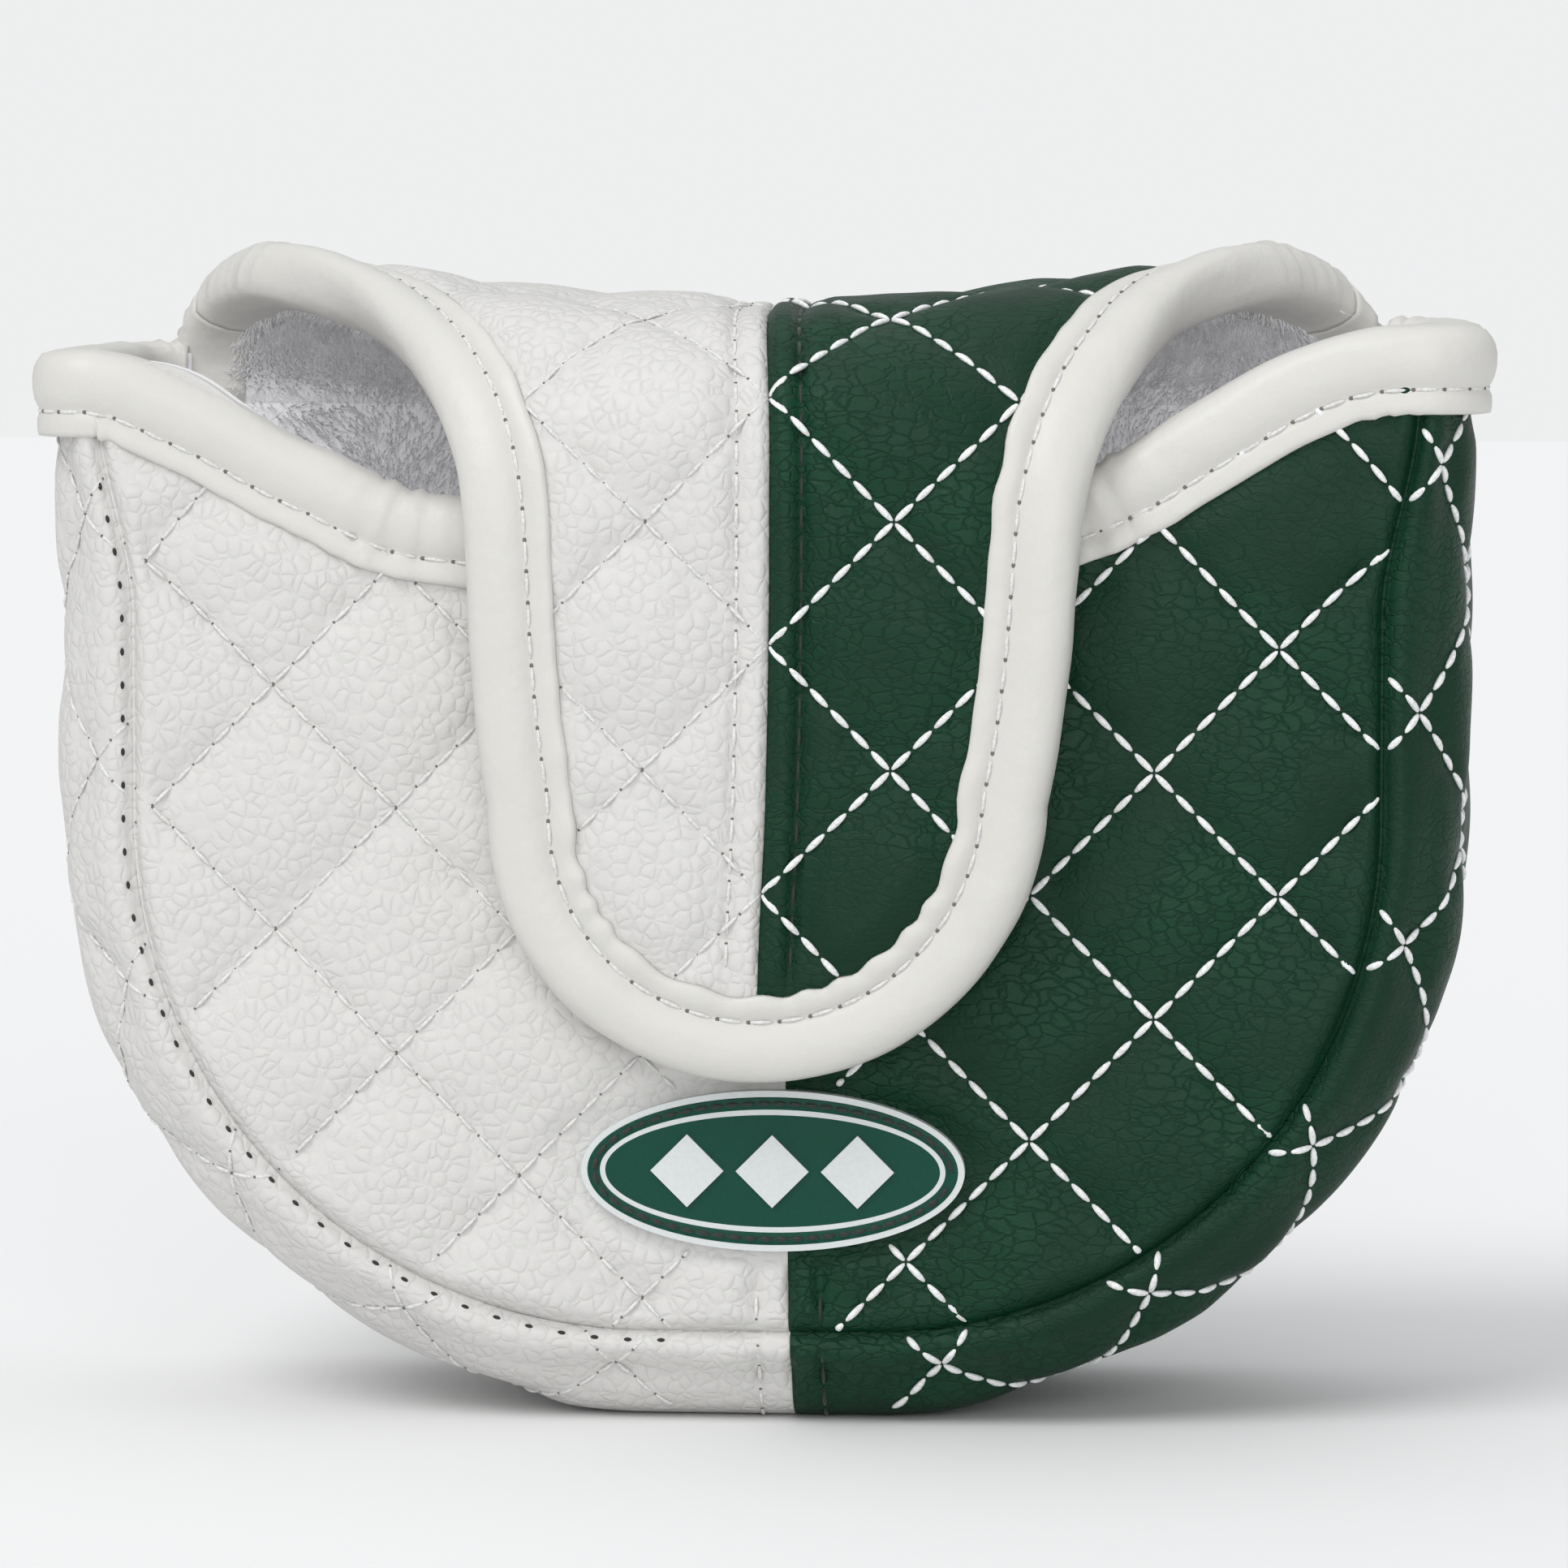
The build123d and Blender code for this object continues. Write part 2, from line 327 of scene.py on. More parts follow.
MOUTH_AT = np.array([
    (-75, 105.2), (-62, 105.2), (-57.9, 104.3), (-53, 101.9), (-49.4, 99.9), (-44.1, 96.4),
    (-40.8, 94.7), (-37.4, 92.8), (-34, 91.4), (-28.7, 90.6), (0, 90.5), (25, 91.3),
    (31.9, 93.4), (37, 96.1), (40.5, 98.6), (44, 101.1), (47.4, 103.6), (50.9, 105.5),
    (54.3, 106.8), (57.8, 107.5), (62, 107.7), (75, 107.7),
])
mouth_line = curve_through(MOUTH_AT[:, 0], MOUTH_AT[:, 1])


def side_top(s):
    """Height of the side wall's top edge, left and right."""
    return np.where(s < 0, 105.2, 107.7)


def seam_lean(z):
    """How far outward the front side seams lean near the mouth."""
    return 3.4 * smooth(z, 80, 101)


def body_seam(z):
    """Where the pouch's middle seam runs across the cover, at each height."""
    return 3.6 - 0.012 * z


class Panel:
    """The front or back panel: u is across the cover and v is up."""

    def __init__(self, way):
        self.way = way

    def base(self, u, v):
        belly = 0.7 * smooth(v, 9, 40) * smooth(62 - np.abs(u), 0, 30)
        belly = belly * smooth(100 - v, 0, 25)
        y = self.way * (HALF_DEPTH + belly) + 0 * u
        lean = np.sign(u) * seam_lean(v) * smooth(np.abs(u), 32, PANEL_RADIUS + FLAT_HALF)
        x = u + lean * (self.way < 0)
        return np.stack([x + 0 * v, y + 0 * v, v + 0 * u], -1)

    def normal(self, u, v):
        shape = np.broadcast(u, v).shape
        return np.broadcast_to(np.array([0.0, self.way, 0.0]), (*shape, 3))

    def top(self, u):
        return mouth_line(u) if self.way < 0 else np.full(np.shape(u), ROOT_Z)

    def seam_distance(self, u, v):
        """How far inside the seam with the side wall a point lies."""
        out = np.hypot(np.maximum(np.abs(u) - FLAT_HALF, 0), np.maximum(CORNER - v, 0))
        return PANEL_RADIUS - out

    def relief(self, u, v):
        points = self.base(u, v)
        x = u - body_seam(v)
        if self.way < 0:
            start_u = body_seam(v) + np.where(x < 0, -2.0, 0.0)
            start_v = np.where(x < 0, 0.7, 4.6)
        else:
            start_u = body_seam(v)
            start_v = np.full(np.shape(x), 3.0)
        rise, near = quilting(u, v, start_u, start_v)
        edge = (self.top(u) - v) * 0.85 if self.way < 0 else np.full(np.shape(v + u), 30.0)
        height = leather_relief(points, rise, near, x, edge, self.seam_distance(u, v), 1.0, 1.0)
        if self.way < 0:
            oval = np.hypot((u - BADGE[0]) / (BADGE[2] + 0.6), (v - BADGE[1]) / (BADGE[3] + 0.6))
            height = height * smooth(oval, 1.0, 1.22)
            belly = -(points[..., 1] + HALF_DEPTH)
            height = height - belly * (1 - smooth(oval, 1.0, 1.3))
        return height

    def inside(self, u, v):
        below = 5.0 if self.way < 0 else 0.4
        return (self.seam_distance(u, v) > 0.2) & (v < self.top(u) - below)


class Gusset:
    """The side wall: u runs along the outline from the bottom's middle, v from front to back."""

    ARC = ROUND * math.pi / 2
    FLAT = 2 * (HALF_DEPTH - ROUND)
    WIDE = 2 * ARC + FLAT
    TURN = CORNER * math.pi / 2

    def base(self, u, v):
        side = np.sign(u) + (u == 0)
        run = np.abs(u)
        angle = np.clip((run - FLAT_HALF) / CORNER, 0, math.pi / 2)
        extra = np.maximum(run - FLAT_HALF - self.TURN, 0)
        flat = np.minimum(run, FLAT_HALF)
        out_x = np.sin(angle)
        out_z = -np.cos(angle)
        front = np.clip(v / ROUND, -0.2, math.pi / 2)
        back = np.clip((self.WIDE - v) / ROUND, -0.2, math.pi / 2)
        rounding = np.minimum(front, back)
        inset = ROUND * (1 - np.sin(rounding))
        y_front = -HALF_DEPTH + ROUND * (1 - np.cos(front)) + np.maximum(v - self.ARC, 0)
        y_back = HALF_DEPTH - ROUND * (1 - np.cos(back)) - np.maximum(self.WIDE - v - self.ARC, 0)
        y = np.where(v < self.WIDE / 2, y_front, y_back)
        x = side * (flat + (CORNER - inset) * out_x)
        z = CORNER + (CORNER - inset) * out_z + extra
        x = x + side * seam_lean(z) * np.clip(1 - v / self.ARC, 0, 1)
        return np.stack(np.broadcast_arrays(x, y, z), -1)

    def normal(self, u, v):
        return grid_normals(self.base, u, v, True)

    def relief(self, u, v):
        points = self.base(u, v)
        run = np.abs(u)
        rise, near = quilting(run, v, np.where(u < 0, 111.0, 116.2), 4.0)
        x = u - body_seam(0.0)
        far = np.minimum(v, self.WIDE - v)
        top = side_top(u)
        edge = np.where(run > FLAT_HALF + self.TURN, top - points[..., 2], 60.0)
        height = leather_relief(points, rise, near, x, edge, far, 0.6, 1.5)
        height = height - 1.5 * smooth(far, 0.5, 7.0)
        rests = smooth(6.0 - points[..., 2], 0, 6.0) * smooth(28 - run, 0, 10)
        height = height * (1 - rests)
        down = np.maximum(-self.normal(u, v)[..., 2], 0.05)
        return np.minimum(height, (points[..., 2] - 0.03) / down)

    def length(self, side):
        return FLAT_HALF + self.TURN + (side_top(np.array(float(side))) - CORNER)

    def inside(self, u, v):
        run_top = FLAT_HALF + self.TURN + side_top(u) - CORNER
        clear = self.base(u, v)[..., 2] > 1.2
        return (v > 0.3) & (v < self.WIDE - 0.3) & (np.abs(u) < run_top - 5.0) & clear


STATIONS = np.array([
    # middle y, z, edge y, z, left half width, middle x, right half width
    (22.0, ROOT_Z, 22.2, ROOT_Z, 62.6, 0.0, 61.8),
    (21.2, 103.6, 22.6, 104.5, 62.4, 0.0, 61.2),
    (18.4, 106.8, 21.4, 109.0, 61.4, 0.0, 59.6),
    (14.0, 109.0, 18.4, 112.5, 59.4, 0.0, 57.2),
    (8.0, 110.0, 13.0, 114.8, 56.4, 0.1, 54.0),
    (0.0, 110.2, 6.0, 115.8, 52.2, 0.3, 49.7),
    (-8.0, 110.1, -1.0, 115.0, 47.2, 0.6, 45.2),
    (-14.8, 109.7, -8.0, 112.7, 42.2, 0.9, 41.0),
    (-20.2, 108.6, -14.0, 109.6, 38.5, 1.2, 38.2),
    (-24.9, 106.0, -19.6, 105.8, 35.1, 1.6, 35.6),
    (-28.4, 102.2, -24.6, 101.0, 32.3, 2.0, 32.8),
    (-29.9, 97.4, -28.0, 95.7, 30.2, 2.2, 30.6),
    (-30.1, 92.0, -29.7, 90.8, 29.2, 2.2, 29.4),
    (-30.2, 86.0, -30.2, 85.6, 28.8, 2.2, 28.9),
    (-30.2, 76.0, -30.2, 76.0, 28.2, 2.1, 28.2),
    (-30.1, 66.0, -30.1, 66.0, 27.0, 1.9, 27.0),
    (-30.0, 62.2, -30.0, 62.2, 26.3, 1.8, 26.3),
    (-29.9, 50.0, -29.9, 50.0, 23.0, 1.2, 23.0),
    (-29.8, 36.0, -29.8, 36.0, 1.0, 0.8, 1.0),
])


class Flap:
    """The flap: u is across it from its middle seam, v runs down it from its root at the back."""

    def __init__(self):
        step = np.hypot(np.diff(STATIONS[:, 0]), np.diff(STATIONS[:, 1]))
        self.at = np.concatenate([[0], np.cumsum(step)])
        self.read = [curve_through(self.at, STATIONS[:, k]) for k in range(7)]
        self.tip_start = self.at[16]
        self.tip_radius = STATIONS[16, 4]
        self.end = self.tip_start + self.tip_radius
        self.split = self.at[3]

    def wide(self, u, v):
        """Half-width on the side that u is on, before the round end."""
        return np.where(u < 0, self.read[4](v), self.read[6](v))

    def half(self, v, side):
        over = np.clip(v - self.tip_start, 0, self.tip_radius)
        round_end = np.sqrt(np.maximum(self.tip_radius**2 - over**2, 0.0))
        return np.where(v > self.tip_start, round_end, self.wide(side, v))

    def base(self, u, v):
        u, v = np.broadcast_arrays(u, v)
        wide = np.maximum(self.wide(u, np.minimum(v, self.tip_start)), 5.0)
        share = np.clip(np.abs(u) / wide, 0, 1.3) ** 2.4
        y = (1 - share) * self.read[0](v) + share * self.read[2](v)
        z = (1 - share) * self.read[1](v) + share * self.read[3](v)
        below = np.maximum(v - self.at[-1], 0)
        return np.stack([u + self.read[5](v), y, z - below + np.minimum(v, 0)], -1)

    def normal(self, u, v):
        return grid_normals(self.base, u, v, True)

    def edge(self, u, v):
        round_end = self.tip_radius - np.hypot(u, np.maximum(v - self.tip_start, 0))
        straight = self.wide(u, v) - np.abs(u)
        return np.where(v > self.tip_start, round_end, straight)

    def relief(self, u, v):
        points = self.base(u, v)
        rise, near = quilting(u, v, 0.0, self.at[13] + 8.2)
        far = np.full(np.broadcast(u, v).shape, 30.0)
        return leather_relief(points, rise, near, u, self.edge(u, v), far)

    def inside(self, u, v):
        return (self.edge(u, v) > 6.2) & (v > 0.2)


def badge_box():
    low, high = box_mm("badge_base")
    return (
        (low[0] + high[0]) / 2, (low[2] + high[2]) / 2,
        (high[0] - low[0]) / 2, (high[2] - low[2]) / 2,
    )


BADGE = badge_box()
FRONT = Panel(-1)
BACK = Panel(1)
GUSSET = Gusset()
FLAP = Flap()


def lifted(surface, u, v, lift):
    """Points this far above a panel's finished outer face."""
    height = surface.relief(u, v) + lift
    return surface.base(u, v) + surface.normal(u, v) * height[..., None]


def sunk(surface, u, v, depth):
    """Points this far below a panel's nominal outer face."""
    return surface.base(u, v) - surface.normal(u, v) * depth


def steps(start, stop, size):
    count = max(2, int(round(abs(stop - start) / size)) + 1)
    return np.linspace(start, stop, count)


def seam_columns():
    """Distances from the middle seam, closer together beside it."""
    return np.concatenate([[0.0, 0.18], np.arange(0.45, 4.6, 0.38)])


# ------------------------------------------------------------------ materials


def new_material(name):
    material = bpy.data.materials.new(name)
    material.use_nodes = True
    nodes = material.node_tree.nodes
    shader = nodes.get("Principled BSDF")
    return material, material.node_tree, shader


def add_node(tree, kind, **values):
    node = tree.nodes.new(kind)
    for name, value in values.items():
        if hasattr(node, name):
            setattr(node, name, value)
        else:
            node.inputs[name.replace("_", " ")].default_value = value
    return node


def bump_from(tree, shader, height, strength, distance, under=None):
    bump = tree.nodes.new("ShaderNodeBump")
    bump.inputs["Strength"].default_value = strength
    bump.inputs["Distance"].default_value = distance
    tree.links.new(height, bump.inputs["Height"])
    if under is not None:
        tree.links.new(under, bump.inputs["Normal"])
    tree.links.new(bump.outputs["Normal"], shader.inputs["Normal"])
    return bump.outputs["Normal"]


def mapped(tree, scale):
    place = tree.nodes.new("ShaderNodeTexCoord")
    mapping = tree.nodes.new("ShaderNodeMapping")
    mapping.inputs["Scale"].default_value = scale
    tree.links.new(place.outputs["Object"], mapping.inputs["Vector"])
    return mapping.outputs["Vector"]


def warped(tree, vector, scale, amount):
    """The coordinates, pushed about by a noise."""
    noise = add_node(tree, "ShaderNodeTexNoise", Scale=scale, Detail=2.0)
    tree.links.new(vector, noise.inputs["Vector"])
    push = tree.nodes.new("ShaderNodeVectorMath")
    push.operation = "MULTIPLY_ADD"
    push.inputs[1].default_value = (amount, amount, amount)
    tree.links.new(noise.outputs["Color"], push.inputs[0])
    tree.links.new(vector, push.inputs[2])
    return push.outputs[0]


def ramp(tree, value, stops):
    node = tree.nodes.new("ShaderNodeValToRGB")
    node.color_ramp.interpolation = "EASE"
    elements = node.color_ramp.elements
    while len(elements) < len(stops):
        elements.new(0.5)
    for element, (at, colour) in zip(elements, stops):
        element.position = at
        shade = (colour,) * 3 if isinstance(colour, (int, float)) else tuple(colour)
        element.color = (*shade, 1.0)
    tree.links.new(value, node.inputs["Fac"])
    return node.outputs["Color"]


def maths(tree, kind, first, second):
    """The result of one calculation on two values or outputs."""
    node = tree.nodes.new("ShaderNodeMath")
    node.operation = kind
    for socket, value in zip(node.inputs, (first, second)):
        if isinstance(value, (int, float)):
            socket.default_value = value
        else:
            tree.links.new(value, socket)
    return node.outputs[0]


def white_leatherette():
    """White leatherette with rounded pebbles about 2 mm wide."""
    material, tree, shader = new_material("white_leatherette")
    white = tuple(colours().white)
    place = warped(tree, mapped(tree, (1000, 1000, 1000)), 0.45, 1.1)
    cells = add_node(tree, "ShaderNodeTexVoronoi", feature="DISTANCE_TO_EDGE", Scale=0.66)
    tree.links.new(place, cells.inputs["Vector"])
    valleys = ramp(tree, cells.outputs["Distance"], [(0.0, 0.0), (0.05, 0.45), (0.14, 0.85), (0.3, 1.0)])
    middles = add_node(tree, "ShaderNodeTexVoronoi", feature="F1", Scale=0.66)
    tree.links.new(place, middles.inputs["Vector"])
    domes = ramp(tree, middles.outputs["Distance"], [(0.0, 1.0), (0.25, 0.93), (0.5, 0.68), (0.9, 0.0)])
    pebbles = maths(tree, "MULTIPLY", valleys, domes)
    fine = add_node(tree, "ShaderNodeTexVoronoi", feature="DISTANCE_TO_EDGE", Scale=1.5)
    tree.links.new(place, fine.inputs["Vector"])
    pores = ramp(tree, fine.outputs["Distance"], [(0.0, 0.0), (0.25, 1.0)])
    coarse = bump_from(tree, shader, pebbles, 0.42, 0.00036)
    bump_from(tree, shader, pores, 0.12, 0.00006, coarse)
    # Painted shade: the valleys between the pebbles are tinted 1.5% darker.
    darker = tuple(c * 0.985 for c in white)
    tint = ramp(tree, cells.outputs["Distance"], [(0.0, darker), (0.10, white)])
    tree.links.new(tint, shader.inputs["Base Color"])
    shader.inputs["Roughness"].default_value = 0.50
    shader.inputs["Specular IOR Level"].default_value = 0.38
    return material


def green_leatherette():
    """Dark green leatherette with fine, uneven creases."""
    material, tree, shader = new_material("green_leatherette")
    green = tuple(colours().green)
    place = warped(tree, mapped(tree, (720, 1000, 1250)), 0.42, 2.6)
    cells = add_node(tree, "ShaderNodeTexVoronoi", feature="DISTANCE_TO_EDGE", Scale=0.70)
    tree.links.new(place, cells.inputs["Vector"])
    patches = add_node(tree, "ShaderNodeTexNoise", Scale=0.07, Detail=2.0)
    tree.links.new(mapped(tree, (1000, 1000, 1000)), patches.inputs["Vector"])
    # Patches where the creases are strong, for the bump and for their painted shade.
    crease_and_shade_patches = ramp(tree, patches.outputs["Fac"], [(0.36, 0.22), (0.64, 1.0)])
    lines = ramp(tree, cells.outputs["Distance"], [(0.0, 1.0), (0.03, 0.55), (0.13, 0.0)])
    creases = maths(tree, "MULTIPLY", lines, crease_and_shade_patches)
    fine = add_node(tree, "ShaderNodeTexNoise", Scale=2.4, Detail=3.0, Roughness=0.6)
    tree.links.new(place, fine.inputs["Vector"])
    height = maths(tree, "SUBTRACT", 1.0, creases)
    coarse = bump_from(tree, shader, height, 0.55, 0.00030)
    bump_from(tree, shader, fine.outputs["Fac"], 0.55, 0.00018, coarse)
    lighter = tuple(c * 1.5 for c in green)
    # Painted shade: the creases are mixed up to 40% towards 0.62 of the green, darkest where they are
    # strongest.
    crease_shade = tuple(c * 0.62 for c in green)
    tint = ramp(tree, patches.outputs["Fac"], [(0.30, green), (0.75, lighter)])
    mix = tree.nodes.new("ShaderNodeMix")
    mix.data_type = "RGBA"
    tree.links.new(maths(tree, "MULTIPLY", creases, 0.4), mix.inputs["Factor"])
    tree.links.new(tint, mix.inputs[6])
    mix.inputs[7].default_value = (*crease_shade, 1.0)
    tree.links.new(mix.outputs[2], shader.inputs["Base Color"])
    shader.inputs["Roughness"].default_value = 0.43
    shader.inputs["Specular IOR Level"].default_value = 0.17
    return material


def binding_leatherette():
    """Smooth, slightly wrinkled white binding."""
    material, tree, shader = new_material("binding_leatherette")
    white = tuple(colours().binding)
    place = mapped(tree, (1000, 1000, 1000))
    soft = add_node(tree, "ShaderNodeTexNoise", Scale=0.35, Detail=3.0, Roughness=0.55)
    fine = add_node(tree, "ShaderNodeTexNoise", Scale=3.2, Detail=2.0)
    tree.links.new(place, soft.inputs["Vector"])
    tree.links.new(place, fine.inputs["Vector"])
    coarse = bump_from(tree, shader, soft.outputs["Fac"], 0.30, 0.0006)
    bump_from(tree, shader, fine.outputs["Fac"], 0.12, 0.00008, coarse)
    shader.inputs["Base Color"].default_value = (*white, 1)
    shader.inputs["Roughness"].default_value = 0.44
    shader.inputs["Specular IOR Level"].default_value = 0.42
    shader.inputs["Subsurface Weight"].default_value = 0.05
    shader.inputs["Subsurface Radius"].default_value = (0.002, 0.0018, 0.0015)
    return material


def plush():
    """Short, brushed grey plush, with a faint painted glow in its own colour."""
    material, tree, shader = new_material("plush")
    grey = tuple(colours().plush)
    brushed = mapped(tree, (1000, 800, 620))
    hairs = add_node(tree, "ShaderNodeTexNoise", Scale=1.9, Detail=4.0, Roughness=0.65)
    clumps = add_node(tree, "ShaderNodeTexNoise", Scale=0.16, Detail=3.0)
    tree.links.new(warped(tree, brushed, 0.2, 2.2), hairs.inputs["Vector"])
    tree.links.new(brushed, clumps.inputs["Vector"])
    soft = bump_from(tree, shader, clumps.outputs["Fac"], 0.7, 0.0014)
    bump_from(tree, shader, hairs.outputs["Fac"], 0.8, 0.0005, soft)
    darker = tuple(c * 0.86 for c in grey)
    tint = ramp(tree, hairs.outputs["Fac"], [(0.30, darker), (0.62, grey)])
    tree.links.new(tint, shader.inputs["Base Color"])
    shader.inputs["Roughness"].default_value = 0.95
    shader.inputs["Specular IOR Level"].default_value = 0.1
    shader.inputs["Sheen Weight"].default_value = 0.5
    shader.inputs["Sheen Roughness"].default_value = 0.4
    # Painted light: a faint glow in the plush's own colour lifts its shaded hollows.
    shader.inputs["Emission Color"].default_value = (*grey, 1)
    shader.inputs["Emission Strength"].default_value = 0.13
    return material


def foam():
    """White padding foam."""
    material, tree, shader = new_material("foam")
    cells = add_node(tree, "ShaderNodeTexVoronoi", Scale=1.1)
    tree.links.new(mapped(tree, (1000, 1000, 1000)), cells.inputs["Vector"])
    bump_from(tree, shader, cells.outputs["Distance"], 0.4, 0.0003)
    shader.inputs["Base Color"].default_value = (0.62, 0.615, 0.60, 1)
    shader.inputs["Roughness"].default_value = 0.9
    return material


def thread_material(name, colour, roughness):
    """Spun thread, with its twist as a fine wave."""
    material, tree, shader = new_material(name)
    fibres = add_node(tree, "ShaderNodeTexNoise", Scale=3.0, Detail=3.0)
    tree.links.new(mapped(tree, (1000, 1000, 1000)), fibres.inputs["Vector"])
    bump_from(tree, shader, fibres.outputs["Fac"], 0.5, 0.00012)
    darker = tuple(c * 0.80 for c in colour)
    tint = ramp(tree, fibres.outputs["Fac"], [(0.35, darker), (0.6, colour)])
    tree.links.new(tint, shader.inputs["Base Color"])
    shader.inputs["Roughness"].default_value = roughness
    shader.inputs["Sheen Weight"].default_value = 0.2
    return material


def plain_material(name, colour, roughness, grain=0.0, metallic=0.0, shine=0.5):
    """An even finish with a little grain."""
    material, tree, shader = new_material(name)
    specks = add_node(tree, "ShaderNodeTexNoise", Scale=2.2, Detail=3.0)
    tree.links.new(mapped(tree, (1000, 1000, 1000)), specks.inputs["Vector"])
    if grain:
        bump_from(tree, shader, specks.outputs["Fac"], grain, 0.0001)
    shade = ramp(tree, specks.outputs["Fac"], [(0.3, tuple(c * 0.95 for c in colour)), (0.7, colour)])
    tree.links.new(shade, shader.inputs["Base Color"])
    shader.inputs["Roughness"].default_value = roughness
    shader.inputs["Metallic"].default_value = metallic
    shader.inputs["Specular IOR Level"].default_value = shine
    return material


MATERIALS = {}


def finish_of(name):
    """The finish of this name, made when it is first asked for."""
    if name not in MATERIALS:
        white_thread = tuple(colours().white_thread)
        green_thread = tuple(colours().green_thread)
        makers = {
            "white_leatherette": white_leatherette,
            "green_leatherette": green_leatherette,
            "binding_leatherette": binding_leatherette,
            "plush": plush,
            "foam": foam,
            "white_thread": lambda: thread_material("white_thread", white_thread, 0.55),
            "silver_thread": lambda: thread_material("silver_thread", (0.72, 0.715, 0.70), 0.40),
            "green_thread": lambda: thread_material("green_thread", green_thread, 0.6),
            # Painted shade: both needle finishes colour small spots dark to stand for the shade inside needle
            # punctures.
            "needle_hole": lambda: plain_material("needle_hole", (0.030, 0.028, 0.026), 0.9),
            "needle_shade": lambda: plain_material("needle_shade", (0.16, 0.15, 0.14), 0.9),
            "badge_light": lambda: plain_material("badge_light", (0.62, 0.65, 0.65), 0.42, 0.15),
            "badge_green": lambda: plain_material("badge_green", (0.004, 0.058, 0.037), 0.40, 0.2, 0.0, 0.15),
            "magnet": lambda: plain_material("magnet", (0.55, 0.55, 0.56), 0.25, 0.0, 1.0),
        }
        MATERIALS[name] = makers[name]()
    return MATERIALS[name]


# ------------------------------------------------------------------ panels


def panel_columns(side):
    """Places across a panel from the middle seam to its side, one list per half."""
    seam = body_seam(50.0)
    near = seam + side * seam_columns()
    reach = side * FLAT_HALF
    flat = steps(near[-1] + side * sizes().grid, reach, sizes().grid)
    quarter = steps(0, math.pi / 2, sizes().grid / PANEL_RADIUS)[1:]
    arc = side * (FLAT_HALF + PANEL_RADIUS * np.sin(quarter))
    return np.concatenate([near, flat, arc])


def panel_grid(panel, side):
    """(u, v) of one half of a panel."""
    u = panel_columns(side)
    out = np.maximum(np.abs(u) - FLAT_HALF, 0)
    low = CORNER - np.sqrt(np.maximum(PANEL_RADIUS**2 - out**2, 0))
    high = panel.top(u)
    share = steps(0, 1, sizes().grid / 92.0)[:, None]
    v = low + (high - low) * share
    u = np.broadcast_to(u, v.shape)
    near = 1 - smooth(np.abs(u - body_seam(50.0)), 4.0, 40.0)
    u = u + near * (body_seam(v) - body_seam(50.0))
    return u, v


def half_panel(panel, side, name, colour):
    u, v = panel_grid(panel, side)
    outer = lifted(panel, u, v, 0.0)
    inner = panel.base(u, v).copy()
    inner[..., 1] = panel.way * (HALF_DEPTH - SHELL)
    return slab(name, outer, inner, finish_of(colour))


def half_gusset(side, name, colour):
    seam = body_seam(0.0)
    last = side * float(GUSSET.length(side))
    near = seam + side * seam_columns()
    far = steps(near[-1] + side * sizes().grid, last, sizes().grid)
    u = np.concatenate([near, far])[:, None]
    front = [0.0, 0.25, 0.6, 1.0, 1.5]
    across = steps(2.1, Gusset.WIDE - 2.1, sizes().grid)
    v = np.concatenate([front, across, Gusset.WIDE - np.array(front[::-1])])[None, :]
    u, v = np.broadcast_arrays(u, v)
    leather = slab(name, lifted(GUSSET, u, v, 0.0), lifted(GUSSET, u, v, -0.8), finish_of(colour))
    u, v = u[::2, ::2], v[::2, ::2]
    depth = SHELL + PADDING - 0.05
    stuffing = slab(
        name.replace("leather", "stuffing"), lifted(GUSSET, u, v, -0.85), sunk(GUSSET, u, v, depth),
        finish_of("foam"),
    )
    return leather, stuffing


def flap_grid(side, start, stop, grid):
    rows = steps(start, min(stop, FLAP.tip_start), grid)
    if stop > FLAP.tip_start:
        turn = steps(0, math.radians(88), grid / FLAP.tip_radius)[1:]
        rows = np.concatenate([rows, FLAP.tip_start + FLAP.tip_radius * np.sin(turn)])
    v = rows[:, None]
    half = FLAP.half(v, side)
    near = seam_columns()[None, :]
    near = near * np.minimum(half / 9.0, 1.0)
    share = steps(0, 1, grid / 45.0)[None, 1:]
    rest = near[:, -1:] + (half - near[:, -1:]) * share
    u = side * np.concatenate([near, rest], 1)
    return u, np.broadcast_to(v, u.shape)


def flap_layer(name, side, start, stop, depths, material, grid, relief=False, fuzz=0.0):
    """One layer of the flap between two depths, or the outer layer with its relief."""
    if side:
        u, v = flap_grid(side, start, stop, grid)
    else:
        left = flap_grid(-1, start, stop, grid)
        right = flap_grid(1, start, stop, grid)
        u = np.concatenate([left[0][:, :0:-1], right[0]], 1)
        v = np.concatenate([left[1][:, :0:-1], right[1]], 1)
    outer = lifted(FLAP, u, v, 0.0) if relief else sunk(FLAP, u, v, depths[0])
    inner = sunk(FLAP, u, v, depths[1])
    if fuzz:
        inner = inner - FLAP.normal(u, v) * (fuzz * CREASES(inner))[..., None]
    return slab(name, outer, inner, finish_of(material))


# ------------------------------------------------------------------ bindings


def binding_section(thick, ease):
    """Stations round the binding: (distance in from the free edge, height, beyond the edge, side)."""
    roll = sizes().roll
    wide = roll + sizes().margin
    outside = [
        (wide, 0.06), (wide - 0.10, 0.58), (wide - 0.6, 0.70), (roll + 0.75, 0.68),
        (roll + 0.35, 0.50), (roll, 0.34), (roll - 0.4, 0.58), (roll - 1.1, 0.92),
        (roll - 2.2, 1.14), (roll - 3.4, 1.16), (0.9, 0.98), (0.3, 0.70),
    ]
    inside = [(0.4, 0.6), (1.4, 0.9), (roll - 2.0, 0.9), (roll, 0.35), (wide - 1.2, 0.6), (wide - 1.0, 0.05)]
    return outside, inside


def crimp_at(lengths, places, reach=3.2):
    """Small pinched folds round these lengths along a binding."""
    folds = np.zeros(len(lengths))
    for place in places:
        near = np.exp(-(((lengths - place) / reach) ** 2))
        folds += 0.55 * near * np.sin((lengths - place) * 2 * math.pi / 2.7 + place)
    return folds


